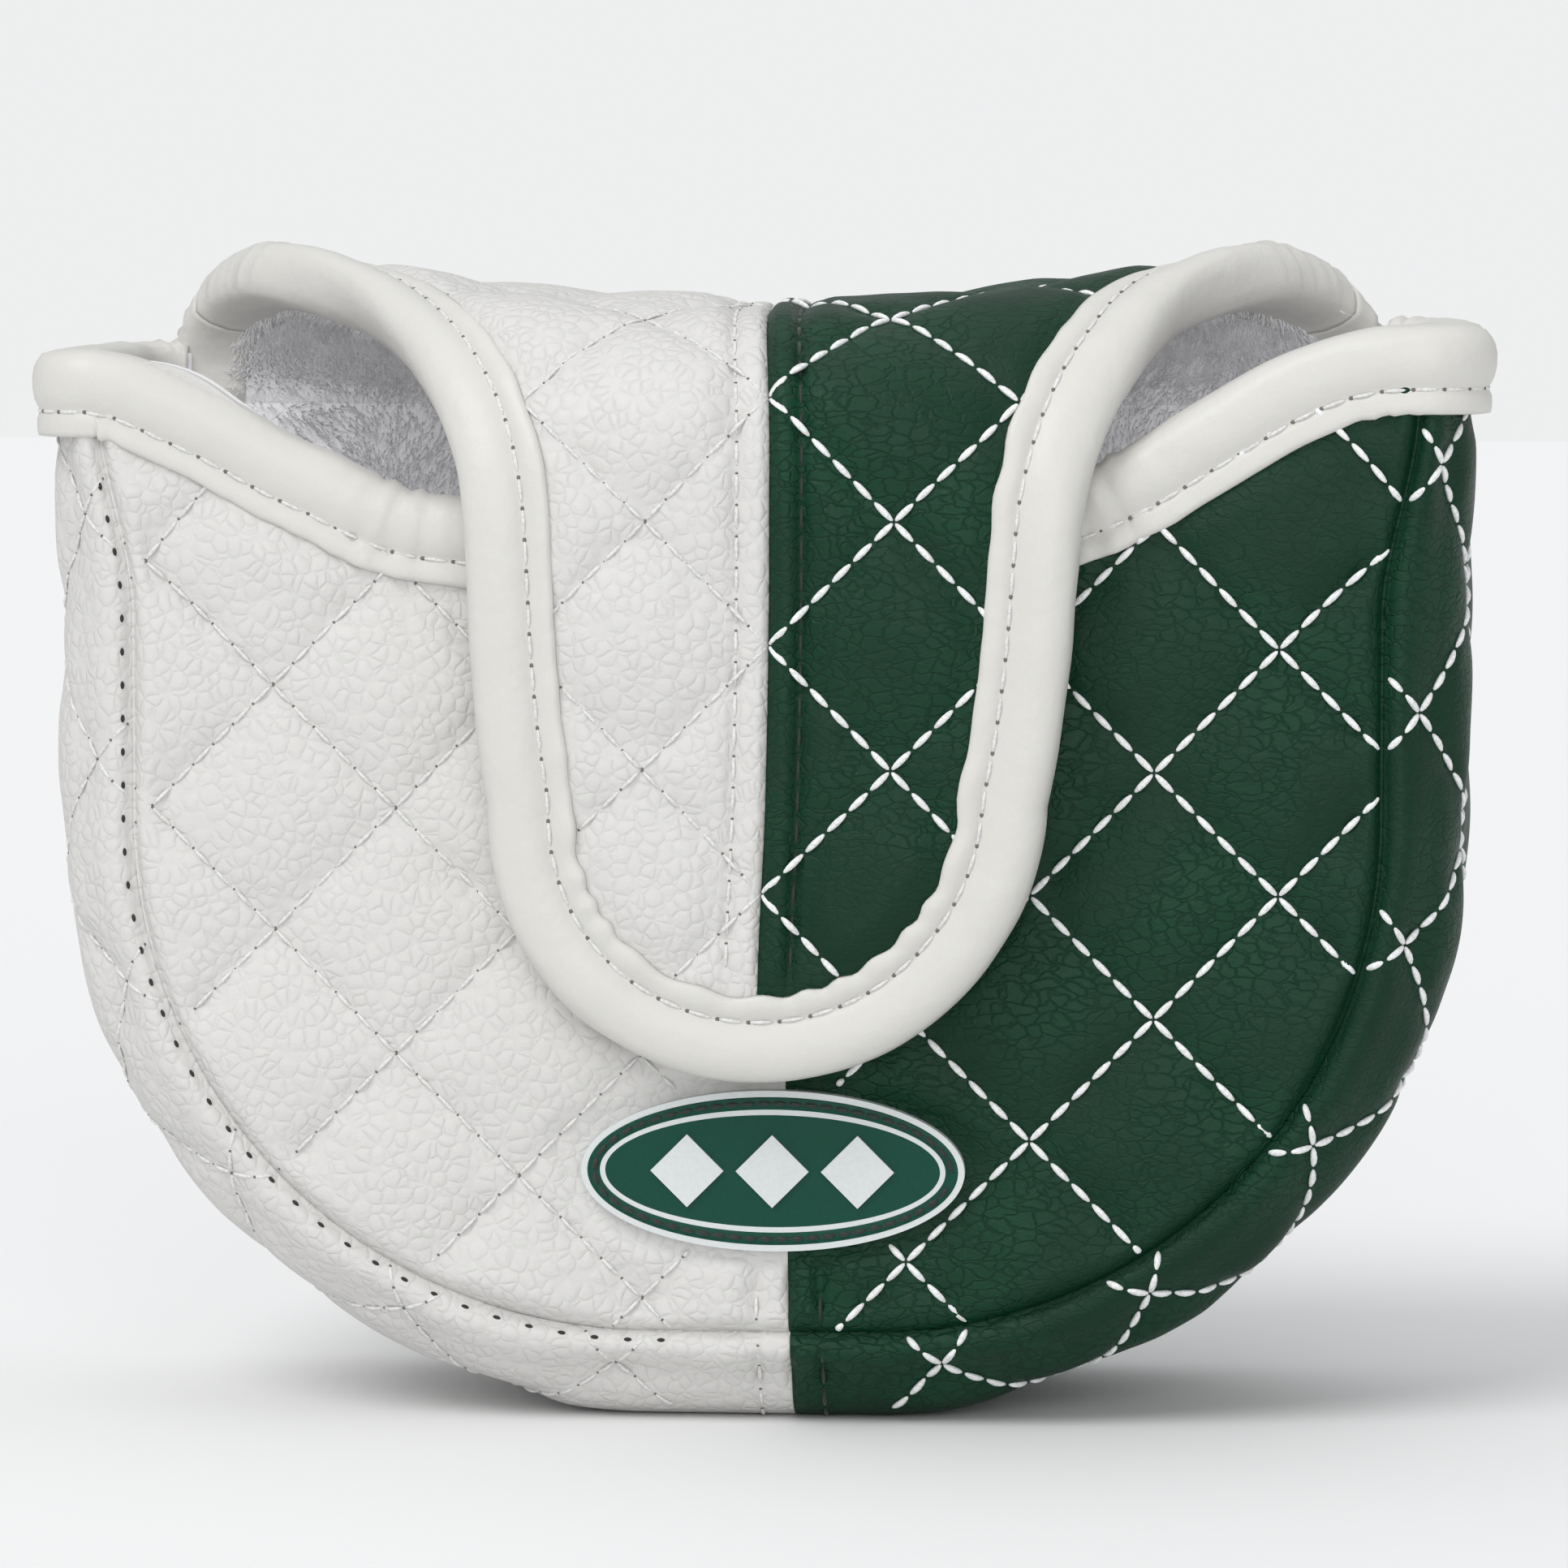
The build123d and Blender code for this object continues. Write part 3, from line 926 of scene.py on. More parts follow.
def binding_piece(name, at_edge, lengths, thick, bend=None, crimps=()):
    """A binding swept along a free edge. at_edge(i, distance) gives the outer face and its normal there."""
    outside, inside = binding_section(thick, 0)
    rings = []
    count = len(lengths)
    index = np.arange(count)
    edge, normal = at_edge(index, np.zeros(count))
    further, _ = at_edge(index, np.full(count, 0.8))
    out = edge - further
    out /= np.linalg.norm(out, axis=1)[:, None]
    noise = SOFT_FOLDS(edge) * 0.5 + CREASES(edge) * 0.5
    plump = 1 + 0.10 * noise
    tight = np.zeros(count) if bend is None else bend
    wave = np.sin(lengths * 2 * math.pi / 6.1 + 3.5 * SOFT_FOLDS(edge))
    pinch = crimp_at(lengths, crimps)
    for distance, height in outside:
        place = np.full(count, float(distance))
        tall = np.full(count, float(height)) * plump
        if height > 0.2:
            tall = np.maximum(tall + pinch, 0.15)
        if distance > sizes().roll + 0.5:
            place = place + tight * 0.22 * wave
            tall = tall + tight * 0.16 * (1 + wave) * (height > 0.2)
        point, facing = at_edge(index, place)
        rings.append(point + facing * tall[:, None])
    beyond = 0.95 * plump
    for share in (0.06, 0.28, 0.5, 0.72, 0.94):
        angle = math.pi * share
        reach = (0.35 + 0.75 * math.sin(angle)) * beyond * (1 + 0.6 * pinch)
        level = 0.5 - (thick + 1.0) * share
        rings.append(edge + out * reach[:, None] + normal * level)
    for distance, height in inside:
        point, facing = at_edge(index, np.full(count, float(distance)))
        rings.append(point - facing * (thick + height))
    for distance, depth in ((sizes().roll + sizes().margin - 1.0, thick + 0.02), (0.12, thick + 0.02)):
        point, facing = at_edge(index, np.full(count, float(distance)))
        rings.append(point - facing * depth)
    point, facing = at_edge(index, np.full(count, 0.12))
    rings.append(point + facing * 0.04)
    section = np.stack(rings, 1)
    around = section.shape[1]
    points = section.reshape(-1, 3)
    faces = tube_faces(count, around, False)
    faces = outward_tube(points, faces, count, around)
    return points, faces, around


def outward_tube(points, faces, rings, around):
    """Closes an open sweep with end caps, and turns all the faces outward."""
    first = list(range(around))
    last = [(rings - 1) * around + k for k in range(around)]
    everything = [tuple(f) for f in faces] + [tuple(reversed(first)), tuple(last)]
    total = 0.0
    for face in everything:
        a = points[face[0]]
        for b, c in zip(face[1:-1], face[2:]):
            total += float(a @ np.cross(points[b], points[c]))
    return everything if total > 0 else [tuple(reversed(f)) for f in everything]


def mouth_path():
    """Stations along the pouch's mouth, from the left back corner round the front to the right one."""
    stations = []
    wide = Gusset.WIDE
    left_end = -float(GUSSET.length(-1))
    right_end = float(GUSSET.length(1))
    for v in steps(wide - 0.8, 0.6, 0.9):
        stations.append(("side", left_end, v))
    panel_half = HALF_WIDTH - ROUND
    for u in steps(-panel_half + 0.3, panel_half - 0.3, 0.9):
        stations.append(("front", u, float(mouth_line(np.array(u)))))
    for v in steps(0.6, wide - 0.8, 0.9):
        stations.append(("side", right_end, v))
    return stations


def mouth_edge():
    """The edge function of the mouth binding, and its lengths and tightness."""
    stations = mouth_path()
    kinds = np.array([s[0] == "front" for s in stations])
    a = np.array([s[1] for s in stations])
    b = np.array([s[2] for s in stations])
    step = 0.3
    slope = (mouth_line(a + step) - mouth_line(a - step)) / (2 * step)
    slope = np.where(kinds, slope, 0.0)
    size = np.hypot(slope, 1.0)
    way = np.stack([slope / size, -1 / size], -1)

    def at_edge(index, distance):
        front = kinds[index]
        u = a[index] + way[index, 0] * distance
        v = b[index] + way[index, 1] * distance
        limit = HALF_WIDTH - ROUND - 0.05
        panel_point = FRONT.base(np.clip(u, -limit, limit), v)
        panel_normal = FRONT.normal(u, v)
        side_u = np.sign(a[index]) * (np.abs(a[index]) - distance)
        side_point = GUSSET.base(side_u, b[index])
        side_normal = GUSSET.normal(side_u, b[index])
        pick = front[:, None]
        return np.where(pick, panel_point, side_point), np.where(pick, panel_normal, side_normal)

    points, _ = at_edge(np.arange(len(a)), np.zeros(len(a)))
    lengths = np.concatenate([[0], np.cumsum(np.linalg.norm(np.diff(points, axis=0), axis=1))])
    bend = np.abs(np.gradient(np.arctan(slope))) / np.maximum(np.gradient(lengths), 1e-6)
    tight = np.clip(np.convolve(bend, np.ones(7) / 7, "same") * 14, 0, 1) * kinds
    return at_edge, lengths, tight


def flap_edge(start, stop, side=None):
    """The edge function of a stretch of the flap's free edge, on one side or round the tip."""
    stations = []
    rows = steps(start, min(stop, FLAP.tip_start), 0.9)
    if side is None:
        for v in rows:
            stations.append((-float(FLAP.half(v, -1)), float(v), 0.0))
        for angle in steps(-math.pi / 2, math.pi / 2, 0.9 / FLAP.tip_radius)[1:-1]:
            reach = FLAP.tip_radius
            stations.append((
                reach * math.sin(angle), FLAP.tip_start + reach * math.cos(angle), 1.0,
            ))
        for v in rows[::-1]:
            stations.append((float(FLAP.half(v, 1)), float(v), 0.0))
    else:
        for v in rows:
            stations.append((side * float(FLAP.half(v, side)), float(v), 0.0))
    stations = np.array(stations)
    u, v = stations[:, 0], stations[:, 1]
    along = np.stack([np.gradient(u), np.gradient(v)], -1)
    along /= np.linalg.norm(along, axis=1)[:, None]
    inward = np.stack([-along[:, 1], along[:, 0]], -1)
    middle_v = np.minimum(v, FLAP.tip_start)
    toward = np.stack([-u, middle_v - v], -1)
    inward *= np.sign((inward * toward).sum(1) + 1e-9)[:, None]

    def at_edge(index, distance):
        x = u[index] + inward[index, 0] * distance
        y = v[index] + inward[index, 1] * distance
        return FLAP.base(x, y), FLAP.normal(x, y)

    points, _ = at_edge(np.arange(len(u)), np.zeros(len(u)))
    lengths = np.concatenate([[0], np.cumsum(np.linalg.norm(np.diff(points, axis=0), axis=1))])
    turn = np.unwrap(np.arctan2(along[:, 1], along[:, 0]))
    bend = np.abs(np.gradient(turn)) / np.maximum(np.gradient(lengths), 1e-6)
    tight = np.clip(np.convolve(bend, np.ones(9) / 9, "same") * 26, 0, 1)
    return at_edge, lengths, tight


# ------------------------------------------------------------------ stitches


def stitch_shape():
    """Points and faces of one stitch, a bead lying along Z from 0 to 1."""
    if "stitch" not in MATERIALS:
        bpy.ops.object.select_all(action="DESELECT")
        bpy.ops.mesh.primitive_uv_sphere_add(segments=6, ring_count=6, radius=1.0)
        bead = bpy.context.object
        bpy.ops.object.mode_set(mode="EDIT")
        bpy.ops.mesh.select_all(action="SELECT")
        bpy.ops.transform.resize(value=(1.0, 0.8, 0.5))
        bpy.ops.transform.translate(value=(0, 0, 0.5))
        bpy.ops.object.mode_set(mode="OBJECT")
        points = np.array([vertex.co for vertex in bead.data.vertices])
        faces = [tuple(face.vertices) for face in bead.data.polygons]
        bpy.data.objects.remove(bead)
        MATERIALS["stitch"] = points, [face + face[:1] * (4 - len(face)) for face in faces]
    return MATERIALS["stitch"]


def stitch_mesh(starts, ends, normals, radius, lift, hump):
    """Points and faces of many copies of the one stitch."""
    bead, faces = stitch_shape()
    count, per = len(starts), len(bead)
    along = ends - starts
    tangent = along / np.maximum(np.linalg.norm(along, axis=1), 1e-9)[:, None]
    across = np.cross(normals, tangent)
    across /= np.maximum(np.linalg.norm(across, axis=1), 1e-9)[:, None]
    up = np.cross(tangent, across)
    share = bead[:, 2]
    raised = radius * bead[:, 1] + lift + hump * np.sin(math.pi * share)
    points = (
        starts[:, None] + along[:, None] * share[None, :, None]
        + across[:, None] * (radius * bead[:, 0])[None, :, None]
        + up[:, None] * raised[None, :, None]
    )
    faces = np.array(faces)[None] + (np.arange(count) * per)[:, None, None]
    return points.reshape(-1, 3), faces.reshape(-1, 4)


def clean_faces(faces):
    """Quads as tuples, with a doubled corner dropped to leave a triangle."""
    made = []
    for face in faces:
        corners = []
        for corner in face:
            if int(corner) not in corners:
                corners.append(int(corner))
        made.append(tuple(corners))
    return made


def lattice_stitches(surface, start, start_v, span_u, span_v, keep):
    """(starts, ends, normals) of the quilting stitches on a surface. start gives u of a crossing."""
    wide = sizes().quilt
    count = sizes().stitches_per_side
    pitch = wide / 2 / count
    runs = []
    lines = int((abs(span_u) + abs(span_v)) / wide) + 3
    for sign in (-1, 1):
        for line in range(-lines, lines + 1):
            for k in range(-lines * count, lines * count):
                a, b = (k + 0.05) * pitch, (k + 0.95) * pitch
                runs.append((sign, line, a, b))
    runs = np.array(runs)
    sign, line, a, b = runs.T
    ends = []
    for q in (a, b, (a + b) / 2):
        u = start + q + line * wide
        v = start_v + sign * q
        ends.append((u, v))
    (u0, v0), (u1, v1), (middle_u, middle_v) = ends
    shares = np.linspace(0, 1, 9)[:, None]
    along_u = u0 + (u1 - u0) * shares
    along_v = v0 + (v1 - v0) * shares
    within = surface.inside(along_u, along_v) & keep(along_u, along_v)
    kept = within.sum(0) >= 4
    within, along_u, along_v = within[:, kept], along_u[:, kept], along_v[:, kept]
    first = within.argmax(0)
    last = 8 - within[::-1].argmax(0)
    pick = np.arange(within.shape[1])
    normals = surface.normal(along_u[4], along_v[4])
    return (
        lifted(surface, along_u[first, pick], along_v[first, pick], 0.0),
        lifted(surface, along_u[last, pick], along_v[last, pick], 0.0),
        normals,
    )


def run_stitches(points, normals, pitch, fill=0.78, offset=0.0):
    """Stitches along a dense row of points."""
    gaps = np.linalg.norm(np.diff(points, axis=0), axis=1)
    along = np.concatenate([[0], np.cumsum(gaps)])
    count = int((along[-1] - offset) / pitch)
    a = offset + np.arange(count) * pitch + pitch * (1 - fill) / 2
    b = a + pitch * fill

    def at(where, rows):
        return np.stack([np.interp(where, along, rows[:, k]) for k in range(3)], -1)

    facing = at((a + b) / 2, normals)
    facing /= np.linalg.norm(facing, axis=1)[:, None]
    return at(a, points), at(b, points), facing


def painted_hole_shade(starts, ends, normals, radius, between=None):
    """Painted shade of needle punctures: tiny dark spots at the ends of stitches, as very short spindles."""
    tangent = ends - starts
    tangent /= np.maximum(np.linalg.norm(tangent, axis=1), 1e-9)[:, None]
    half = radius * 0.5
    return starts - tangent * half, starts + tangent * half, normals


def thread_piece(name, groups):
    """One mesh from groups of (starts, ends, normals, radius, lift, hump, finish)."""
    points, faces, slots, materials = [], [], [], []
    total = 0
    for starts, ends, normals, radius, lift, hump, finish in groups:
        if not len(starts):
            continue
        p, f = stitch_mesh(starts, ends, normals, radius, lift, hump)
        if finish not in materials:
            materials.append(finish)
        points.append(p)
        faces.append(f + total)
        slots += [materials.index(finish)] * len(f)
        total += len(p)
    points = np.concatenate(points)
    faces = clean_faces(np.concatenate(faces))
    return mesh_piece(name, points, faces, [finish_of(m) for m in materials], slots)


def quilting_groups(stitches, green):
    starts, ends, normals = stitches
    if green:
        thread = sizes().thread
        return [(starts, ends, normals, thread, thread * 0.35, thread * 0.45, "white_thread")]
    fine = sizes().fine_thread
    # Painted shade: dark spots at the stitch ends stand for the shade of needle punctures.
    hole_shade_marks = painted_hole_shade(starts, ends, normals, 0.30)
    return [
        (starts, ends, normals, fine, fine * 0.1, fine * 0.9, "silver_thread"),
        (*hole_shade_marks, 0.17, 0.0, 0.0, "needle_shade"),
    ]


def seam_groups(surface, rows, offset, green, along_v=True, fixed=None):
    """Topstitching beside the middle seam, rows being its places along the seam."""
    side = 1 if green else -1
    shift = offset * side
    u, v = (fixed + shift, rows) if along_v else (rows, fixed + shift)
    points = lifted(surface, u, v, 0.0)
    normals = surface.normal(u, v)
    starts, ends, facing = run_stitches(points, normals, sizes().seam_pitch)
    fine = sizes().fine_thread
    thread = "green_thread" if green else "silver_thread"
    groups = [(starts, ends, facing, fine, fine * 0.1, fine * 0.8, thread)]
    # Painted shade: dark spots at the stitch ends stand for the shade of needle punctures.
    hole_shade_marks = painted_hole_shade(starts, ends, facing, 0.25)
    groups.append((*hole_shade_marks, 0.20, 0.0, 0.0, "needle_hole" if green else "needle_shade"))
    return groups


# ------------------------------------------------------------------ operators


class CoverOperator:
    """What the cover's operators share."""

    bl_options = {"REGISTER"}

    def execute(self, context):
        self.build()
        return {"FINISHED"}


class COVER_OT_front_panel(CoverOperator, bpy.types.Operator):
    """Build the quilted front panel's two halves"""

    bl_idname = "cover.front_panel"
    bl_label = "Front panel"

    def build(self):
        for side, word in ((-1, "white"), (1, "green")):
            piece = half_panel(FRONT, side, "front_leather_" + word, word + "_leatherette")
            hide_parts("front_shell_" + word)
            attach(piece, "pouch")


class COVER_OT_back_panel(CoverOperator, bpy.types.Operator):
    """Build the quilted back panel's two halves"""

    bl_idname = "cover.back_panel"
    bl_label = "Back panel"

    def build(self):
        for side, word in ((-1, "white"), (1, "green")):
            piece = half_panel(BACK, side, "back_leather_" + word, word + "_leatherette")
            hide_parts("back_shell_" + word)
            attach(piece, "pouch")


class COVER_OT_side_wall(CoverOperator, bpy.types.Operator):
    """Build the side wall that runs round both sides and the bottom"""

    bl_idname = "cover.side_wall"
    bl_label = "Side wall"

    def build(self):
        for side, word in ((-1, "white"), (1, "green")):
            piece, stuffing = half_gusset(side, "gusset_leather_" + word, word + "_leatherette")
            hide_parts("gusset_padding")
            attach(stuffing, "pouch")
            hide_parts("gusset_shell_" + word)
            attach(piece, "pouch")


def bend_back(piece):
    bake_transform(piece)


def bend_front(piece):
    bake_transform(piece)


class COVER_OT_flap(CoverOperator, bpy.types.Operator):
    """Build the flap: leather, padding and lining, over the top and down the front"""

    bl_idname = "cover.flap"
    bl_label = "Flap"

    def build(self):
        grid = sizes().grid
        thick = sizes().flap_thick
        layers = (0.9, 2.6, thick)
        for side, word in ((-1, "white"), (1, "green")):
            name = word + "_leatherette"
            piece = flap_layer(
                "flap_back_" + word, side, 0.0, FLAP.split, (0, layers[0]), name, grid, True
            )
            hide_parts("crown_shell_" + word)
            bend_back(piece)
            piece = flap_layer(
                "flap_front_" + word, side, FLAP.split, FLAP.end, (0, layers[0]), name, grid, True
            )
            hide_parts("crown_shell_" + word, "tongue_shell_" + word)
            bend_front(piece)
        for word, depths, finish, fuzz in (
            ("padding", layers[:2], "foam", 0.0), ("lining", layers[1:], "plush", 0.25),
        ):
            piece = flap_layer(
                "flap_back_" + word, 0, -0.3, FLAP.split, depths, finish, 1.5, False, fuzz
            )
            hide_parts("crown_" + word)
            bend_back(piece)
            piece = flap_layer(
                "flap_front_" + word, 0, FLAP.split, FLAP.end, depths, finish, 1.5, False, fuzz
            )
            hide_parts("crown_" + word, "tongue_" + word)
            bend_front(piece)


def plush_pile(name, beds, seed):
    """Short pile standing on the lining. beds holds (surface, u, v, depth, length)."""
    random = np.random.default_rng(seed)
    points, total = [], 0
    for surface, u, v, depth, length in beds:
        root = sunk(surface, u, v, depth - 0.25)
        away = -surface.normal(u, v)
        lean = random.normal(size=root.shape) * 0.30 + np.array([0.0, 0.0, -0.45])
        lean += 0.5 * np.stack([SOFT_FOLDS(root), CREASES(root), SOFT_FOLDS(root + 40)], -1)
        long = length * random.uniform(0.7, 1.2, len(u))[:, None]
        tip = root + (away + lean * (1 - np.abs(away))) * long
        side = np.cross(away, random.normal(size=root.shape))
        side /= np.linalg.norm(side, axis=1)[:, None]
        other = np.cross(away, side)
        for turn in (0, 1, 2):
            angle = turn * 2 * math.pi / 3
            points.append(root + 0.13 * (side * math.cos(angle) + other * math.sin(angle)))
        points.append(tip)
        total += len(u)
    corner = [np.concatenate(points[k::4]) for k in range(4)]
    points = np.stack(corner, 1).reshape(-1, 3)
    base = np.arange(total)[:, None] * 4
    faces = np.concatenate([base + np.array(f) for f in ((0, 2, 1), (0, 1, 3), (1, 2, 3), (2, 0, 3))])
    return mesh_piece(name, points, outward(points, faces), [finish_of("plush")])


def scattered(seed, count, low_u, high_u, low_v, high_v, keep):
    random = np.random.default_rng(seed)
    u = random.uniform(low_u, high_u, count)
    v = random.uniform(low_v, high_v, count)
    ok = keep(u, v)
    return u[ok], v[ok]


class COVER_OT_pile(CoverOperator, bpy.types.Operator):
    """Raise the short pile of the plush lining"""

    bl_idname = "cover.pile"
    bl_label = "Plush pile"

    def build(self):
        thick = sizes().flap_thick
        beds = []
        u, v = scattered(11, 20000, -62, 62, 58, 100, lambda u, v: BACK.seam_distance(u, v) > 3)
        beds.append((BACK, u, v, LAMINATE, 2.2))
        u, v = scattered(
            12, 11000, -62, 62, 62, 104, lambda u, v: (FRONT.seam_distance(u, v) > 3) & (v < FRONT.top(u) - 6)
        )
        beds.append((FRONT, u, v, LAMINATE, 1.8))
        for side in (-1, 1):
            last = float(GUSSET.length(side))
            u, v = scattered(13, 6000, last - 45, last - 6, 8, Gusset.WIDE - 8, lambda u, v: u > 0)
            beds.append((GUSSET, side * u, v, LAMINATE, 2.0))
        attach(plush_pile("pouch_pile", beds, 21), "pouch")

        def on_flap(u, v):
            return FLAP.edge(u, v) > sizes().roll

        u, v = scattered(14, 12000, -64, 64, 0.5, FLAP.split, on_flap)
        bend_back(plush_pile("flap_back_pile", [(FLAP, u, v, thick, 2.2)], 22))
        u, v = scattered(15, 30000, -58, 54, FLAP.split, FLAP.at[12], on_flap)
        lower_u, lower_v = scattered(16, 9000, -30, 30, FLAP.at[12], FLAP.end, on_flap)
        beds = [(FLAP, u, v, thick, 2.2), (FLAP, lower_u, lower_v, thick, 0.9)]
        bend_front(plush_pile("flap_front_pile", beds, 23))


class COVER_OT_bindings(CoverOperator, bpy.types.Operator):
    """Build the bindings of the mouth and of the flap's free edge, with their stitches"""

    bl_idname = "cover.bindings"
    bl_label = "Bindings"

    def build(self):
        thick = sizes().flap_thick
        jobs = [
            ("mouth_edge_binding", mouth_edge(), LAMINATE, ["mouth_binding"], "pouch"),
            ("flap_back_binding_left", flap_edge(0.0, FLAP.split, -1), thick, ["crown_binding_left"], "back"),
            ("flap_back_binding_right", flap_edge(0.0, FLAP.split, 1), thick, ["crown_binding_right"], "back"),
            (
                "flap_front_binding", flap_edge(FLAP.split, FLAP.end), thick,
                ["crown_binding_left", "crown_binding_right", "tongue_binding"], "front",
            ),
        ]
        for name, (at_edge, lengths, tight), depth, nodes, where in jobs:
            crimps = {
                "mouth_edge_binding": (2.0, lengths[-1] - 2.0, *self.under_flap(at_edge, lengths)),
                "flap_front_binding": (1.5, 12.0, lengths[-1] - 12.0, lengths[-1] - 1.5),
            }.get(name, (1.0, 7.5))
            points, faces, around = binding_piece(name, at_edge, lengths, depth, tight, crimps)
            piece = mesh_piece(name, points, faces, [finish_of("binding_leatherette")], None, 2)
            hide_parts(*nodes)
            index = np.arange(len(lengths))
            rows, facing = at_edge(index, np.full(len(index), sizes().roll))
            starts, ends, normals = run_stitches(rows + facing * 0.36, facing, sizes().seam_pitch, 0.80)
            fine = sizes().fine_thread
            # Painted shade: dark spots at the stitch ends stand for the shade of needle punctures.
            hole_shade_marks = painted_hole_shade(starts, ends, normals, 0.5)
            threads = thread_piece(name + "_stitches", [
                (starts, ends, normals, fine, fine * 0.2, fine * 0.5, "silver_thread"),
                (*hole_shade_marks, 0.22, 0.02, 0.0, "needle_shade"),
            ])
            for made in (piece, threads):
                if where == "pouch":
                    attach(made, "pouch")
                elif where == "back":
                    bend_back(made)
                else:
                    bend_front(made)


    def under_flap(self, at_edge, lengths):
        """Lengths at which the mouth's binding passes under the flap's edges."""
        index = np.arange(len(lengths))
        x = at_edge(index, np.zeros(len(index)))[0][:, 0]
        middle = np.abs(lengths - lengths[-1] / 2) < 60
        return [lengths[np.argmin(np.where(middle, np.abs(x - place), 999.0))] for place in (-35.0, 33.5)]


class COVER_OT_quilting(CoverOperator, bpy.types.Operator):
    """Sew the diamond quilting and the topstitching of the middle seams"""

    bl_idname = "cover.quilting"
    bl_label = "Quilting and topstitching"

    def build(self):
        wide = sizes().quilt
        clear = 0.05

        def badge_clear(u, v):
            return np.hypot((u - BADGE[0]) / (BADGE[2] + 0.8), (v - BADGE[1]) / (BADGE[3] + 0.8)) > 1

        for green, word, side in ((False, "white", -1), (True, "green", 1)):
            shift = (-2.0, 0.7) if not green else (0.0, 4.6)
            half = lambda u, v, s=side: (s * (u - body_seam(v)) > clear) & badge_clear(u, v)
            made = lattice_stitches(FRONT, body_seam(50.0) + shift[0], shift[1], 150, 120, half)
            groups = quilting_groups(made, green)
            low = 10.5
            rows = np.concatenate([np.arange(low, BADGE[1] - BADGE[3] - 1.0, 0.8)])
            under = np.arange(BADGE[1] + BADGE[3] + 1.0, 82.0, 0.8)
            for part in (rows, under):
                groups += seam_groups(FRONT, part, 3.15, green, True, body_seam(part))
            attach(thread_piece("front_stitches_" + word, groups), "pouch")

            half = lambda u, v, s=side: s * (u - body_seam(v)) > clear
            made = lattice_stitches(BACK, body_seam(50.0), 3.0, 150, 120, half)
            groups = quilting_groups(made, green)
            rows = np.arange(low, ROOT_Z - 1.0, 0.8)
            groups += seam_groups(BACK, rows, 3.15, green, True, body_seam(rows))
            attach(thread_piece("back_stitches_" + word, groups), "pouch")

            start = 116.2 if green else -111.0
            half = lambda u, v, s=side: s * (u - body_seam(0.0)) > clear
            made = lattice_stitches(GUSSET, start, 4.0, 320, 60, half)
            groups = quilting_groups(made, green)
            rows = np.arange(1.0, Gusset.WIDE - 1.0, 0.8)
            groups += seam_groups(
                GUSSET, rows, 3.15, green, True, np.full(len(rows), body_seam(0.0))
            )
            if not green:
                groups += self.needle_row(side)
            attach(thread_piece("gusset_stitches_" + word, groups), "pouch")

            start_v = FLAP.at[13] + 8.2
            for where, low_v, high_v, bender in (
                ("back", 0.5, FLAP.split, bend_back),
                ("front", FLAP.split, FLAP.end, bend_front),
            ):
                half = lambda u, v, s=side, a=low_v, b=high_v: (s * u > clear) & (v > a) & (v <= b)
                made = lattice_stitches(FLAP, 0.0, start_v, 130, 180, half)
                groups = quilting_groups(made, green)
                rows = np.arange(low_v + 0.5, min(high_v, FLAP.end - 8.0), 0.8)
                groups += seam_groups(FLAP, rows, 3.15, green, True, np.zeros(len(rows)))
                piece = thread_piece("flap_" + where + "_stitches_" + word, groups)
                bender(piece)

    def needle_row(self, side):
        """The row of needle punctures beside the front seam of the white side wall, drawn as dark spots of
        painted shade.
        """
        last = float(GUSSET.length(side)) - 8.0
        rows = side * np.arange(8.0, last, 0.8)
        points = lifted(GUSSET, rows, np.full(len(rows), 0.9), 0.0)
        normals = GUSSET.normal(rows, np.full(len(rows), 0.9))
        starts, ends, facing = run_stitches(points, normals, 3.3, 0.30)
        return [(*painted_hole_shade(starts, ends, facing, 0.8), 0.22, 0.02, 0.0, "needle_hole")]


class COVER_OT_badge(CoverOperator, bpy.types.Operator):
    """Sew the badge on with a ring of dark green stitches"""

    bl_idname = "cover.badge"
    bl_label = "Badge stitching"

    def build(self):
        angles = np.linspace(0, 2 * math.pi, 400)
        wide, tall = BADGE[2] - 1.25, BADGE[3] - 1.25
        face = box_mm("badge_base")[0][1] - MID_Y
        points = np.stack([
            BADGE[0] + wide * np.cos(angles), np.full(400, face), BADGE[1] + tall * np.sin(angles)
        ], -1)
        normals = np.broadcast_to(np.array([0.0, -1.0, 0.0]), points.shape)
        rows = np.array([[-0.62], [-0.5], [0.5], [0.62]])
        raised = np.array([[0.01], [0.05], [0.05], [0.01]])
        ring = np.stack([
            BADGE[0] + (wide + rows) * np.cos(angles), face - raised + 0 * angles,
            BADGE[1] + (tall + rows) * np.sin(angles),
        ], -1)
        below = ring.copy()
        below[..., 1] = face + 0.05
        channel = slab("badge_channel", ring, below, finish_of("badge_green"))
        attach(channel, "pouch")
        starts, ends, facing = run_stitches(points, normals, 1.55, 0.92)
        piece = thread_piece("badge_stitches", [(starts, ends, facing, 0.30, 0.05, 0.10, "green_thread")])
        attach(piece, "pouch")


class COVER_OT_inner_finishes(CoverOperator, bpy.types.Operator):
    """Give the parts that keep their plain shape their finishes"""

    bl_idname = "cover.inner_finishes"
    bl_label = "Inner parts' finishes"

    FINISHES = {
        "front_padding": "foam", "back_padding": "foam",
        "front_lining": "plush", "back_lining": "plush", "gusset_lining": "plush",
        "badge_base": "badge_light", "badge_field": "badge_green", "badge_emblem": "badge_light",
        "front_magnet_left": "magnet", "front_magnet_right": "magnet",
        "tongue_magnet_left": "magnet", "tongue_magnet_right": "magnet",
    }

    def build(self):
        for node, finish in self.FINISHES.items():
            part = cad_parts[node]
            part.data.materials.clear()
            part.data.materials.append(finish_of(finish))


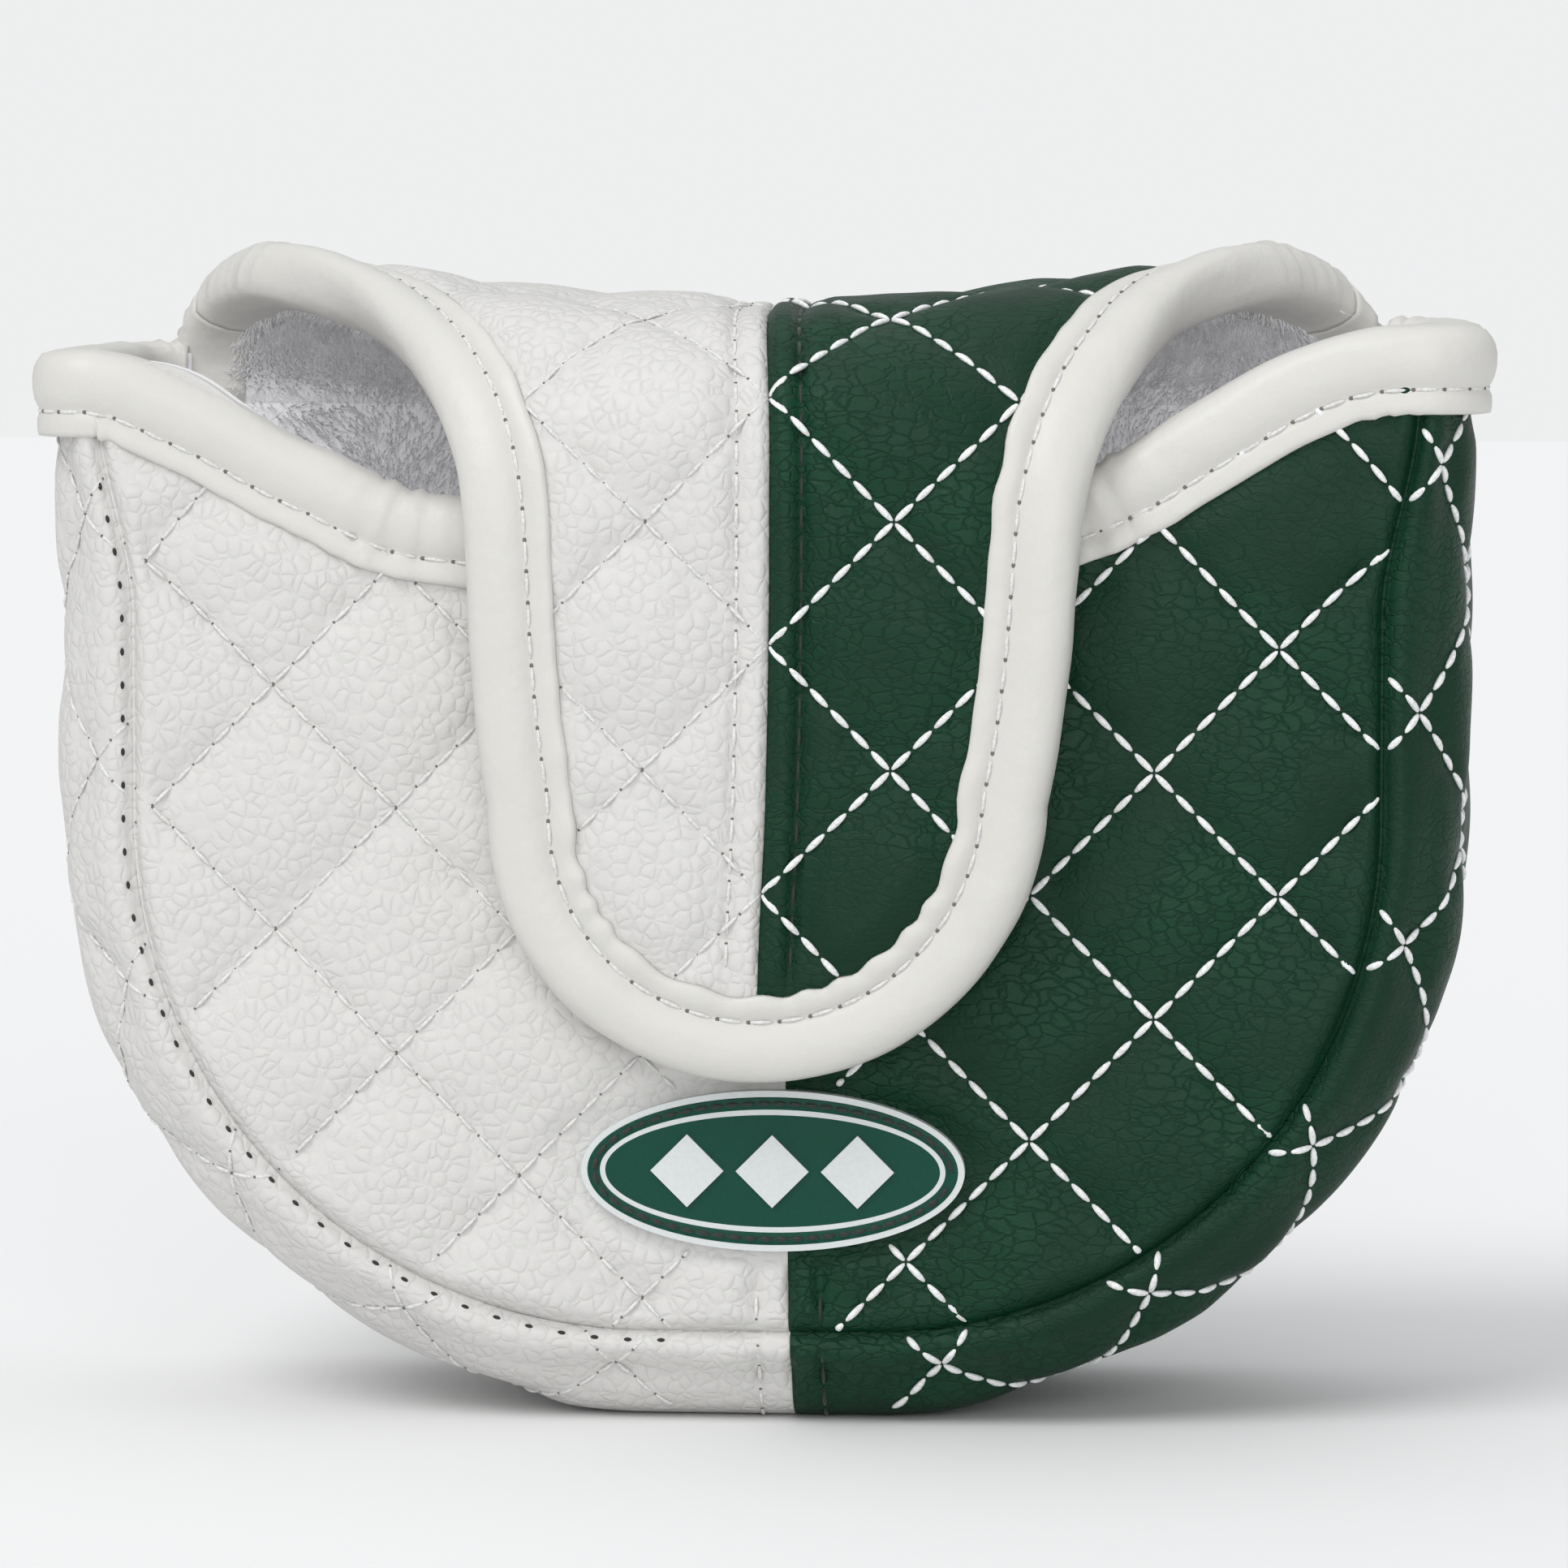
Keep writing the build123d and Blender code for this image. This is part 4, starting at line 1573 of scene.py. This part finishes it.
class COVER_OT_stage(CoverOperator, bpy.types.Operator):
    """Set up the floor, the lights and the camera"""

    bl_idname = "cover.stage"
    bl_label = "Stage"

    def build(self):
        for other in bpy.context.selected_objects:
            other.select_set(False)
        bpy.ops.mesh.primitive_plane_add(size=6.0, location=(0, 0, 0))
        floor = bpy.context.object
        floor.name = "floor"
        material, tree, shader = new_material("floor")
        shader.inputs["Base Color"].default_value = (0.84, 0.84, 0.84, 1)
        shader.inputs["Roughness"].default_value = 0.8
        floor.data.materials.append(material)
        for name, place, spread, power in (
            ("key_light", (-0.45, -0.60, 0.95), 30, 1.25),
            ("front_light", (0.15, -1.0, 0.28), 40, 0.95),
            ("top_light", (0.0, 0.15, 1.2), 60, 0.55),
        ):
            data = bpy.data.lights.new(name, "SUN")
            data.angle = math.radians(spread)
            data.energy = power
            light = bpy.data.objects.new(name, data)
            light.location = place
            toward = Vector((0, 0, 0.055)) - Vector(place)
            light.rotation_mode = "QUATERNION"
            light.rotation_quaternion = toward.to_track_quat("-Z", "Y")
            bpy.context.scene.collection.objects.link(light)
        world = bpy.context.scene.world or bpy.data.worlds.new("studio")
        bpy.context.scene.world = world
        world.use_nodes = True
        tree = world.node_tree
        seen = tree.nodes.get("Background")
        seen.inputs["Color"].default_value = (0.855, 0.86, 0.865, 1)
        seen.inputs["Strength"].default_value = 1.0
        dome = add_node(tree, "ShaderNodeBackground", Color=(0.97, 0.98, 1.0, 1), Strength=0.56)
        path = tree.nodes.new("ShaderNodeLightPath")
        mix = tree.nodes.new("ShaderNodeMixShader")
        tree.links.new(path.outputs["Is Camera Ray"], mix.inputs[0])
        tree.links.new(dome.outputs[0], mix.inputs[1])
        tree.links.new(seen.outputs[0], mix.inputs[2])
        tree.links.new(mix.outputs[0], tree.nodes["World Output"].inputs["Surface"])
        bpy.context.scene.view_settings.view_transform = "Standard"
        data = bpy.data.cameras.new("camera")
        data.lens = 170.5
        data.sensor_width = 36.0
        camera = bpy.data.objects.new("camera", data)
        bpy.context.scene.collection.objects.link(camera)
        azimuth, elevation, distance = math.radians(4.5), math.radians(4.5), 0.750
        back = Vector((
            math.sin(azimuth) * math.cos(elevation),
            -math.cos(azimuth) * math.cos(elevation),
            math.sin(elevation),
        ))
        aim = Vector((0.0013, MID_Y * MM, 0.0620))
        camera.location = aim + back * distance
        camera.rotation_mode = "QUATERNION"
        camera.rotation_quaternion = (-back).to_track_quat("-Z", "Y")
        data.clip_start, data.clip_end = 0.01, 20.0
        bpy.context.scene.camera = camera


class COVER_PT_panel(bpy.types.Panel):
    """Lists the cover's pieces"""

    bl_label = "Putter Cover"
    bl_idname = "COVER_PT_panel"
    bl_space_type = "VIEW_3D"
    bl_region_type = "UI"
    bl_category = "Putter Cover"

    def draw(self, context):
        for operator in STEPS:
            self.layout.operator(operator.bl_idname)
        for group in (context.scene.cover_sizes, context.scene.cover_colours):
            for name in group.__annotations__:
                self.layout.prop(group, name)


STEPS = (
    COVER_OT_inner_finishes,
    COVER_OT_front_panel,
    COVER_OT_back_panel,
    COVER_OT_side_wall,
    COVER_OT_flap,
    COVER_OT_pile,
    COVER_OT_bindings,
    COVER_OT_quilting,
    COVER_OT_badge,
    COVER_OT_stage,
)
CLASSES = (CoverSizes, CoverColours, *STEPS, COVER_PT_panel)


def register():
    for one in CLASSES:
        bpy.utils.register_class(one)
    bpy.types.Scene.cover_sizes = bpy.props.PointerProperty(type=CoverSizes)
    bpy.types.Scene.cover_colours = bpy.props.PointerProperty(type=CoverColours)


def unregister():
    del bpy.types.Scene.cover_sizes
    del bpy.types.Scene.cover_colours
    for one in reversed(CLASSES):
        bpy.utils.unregister_class(one)


def main():
    register()
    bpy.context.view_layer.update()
    for operator in STEPS:
        area, name = operator.bl_idname.split(".")
        getattr(getattr(bpy.ops, area), name)()


if __name__ == "__main__":
    main()
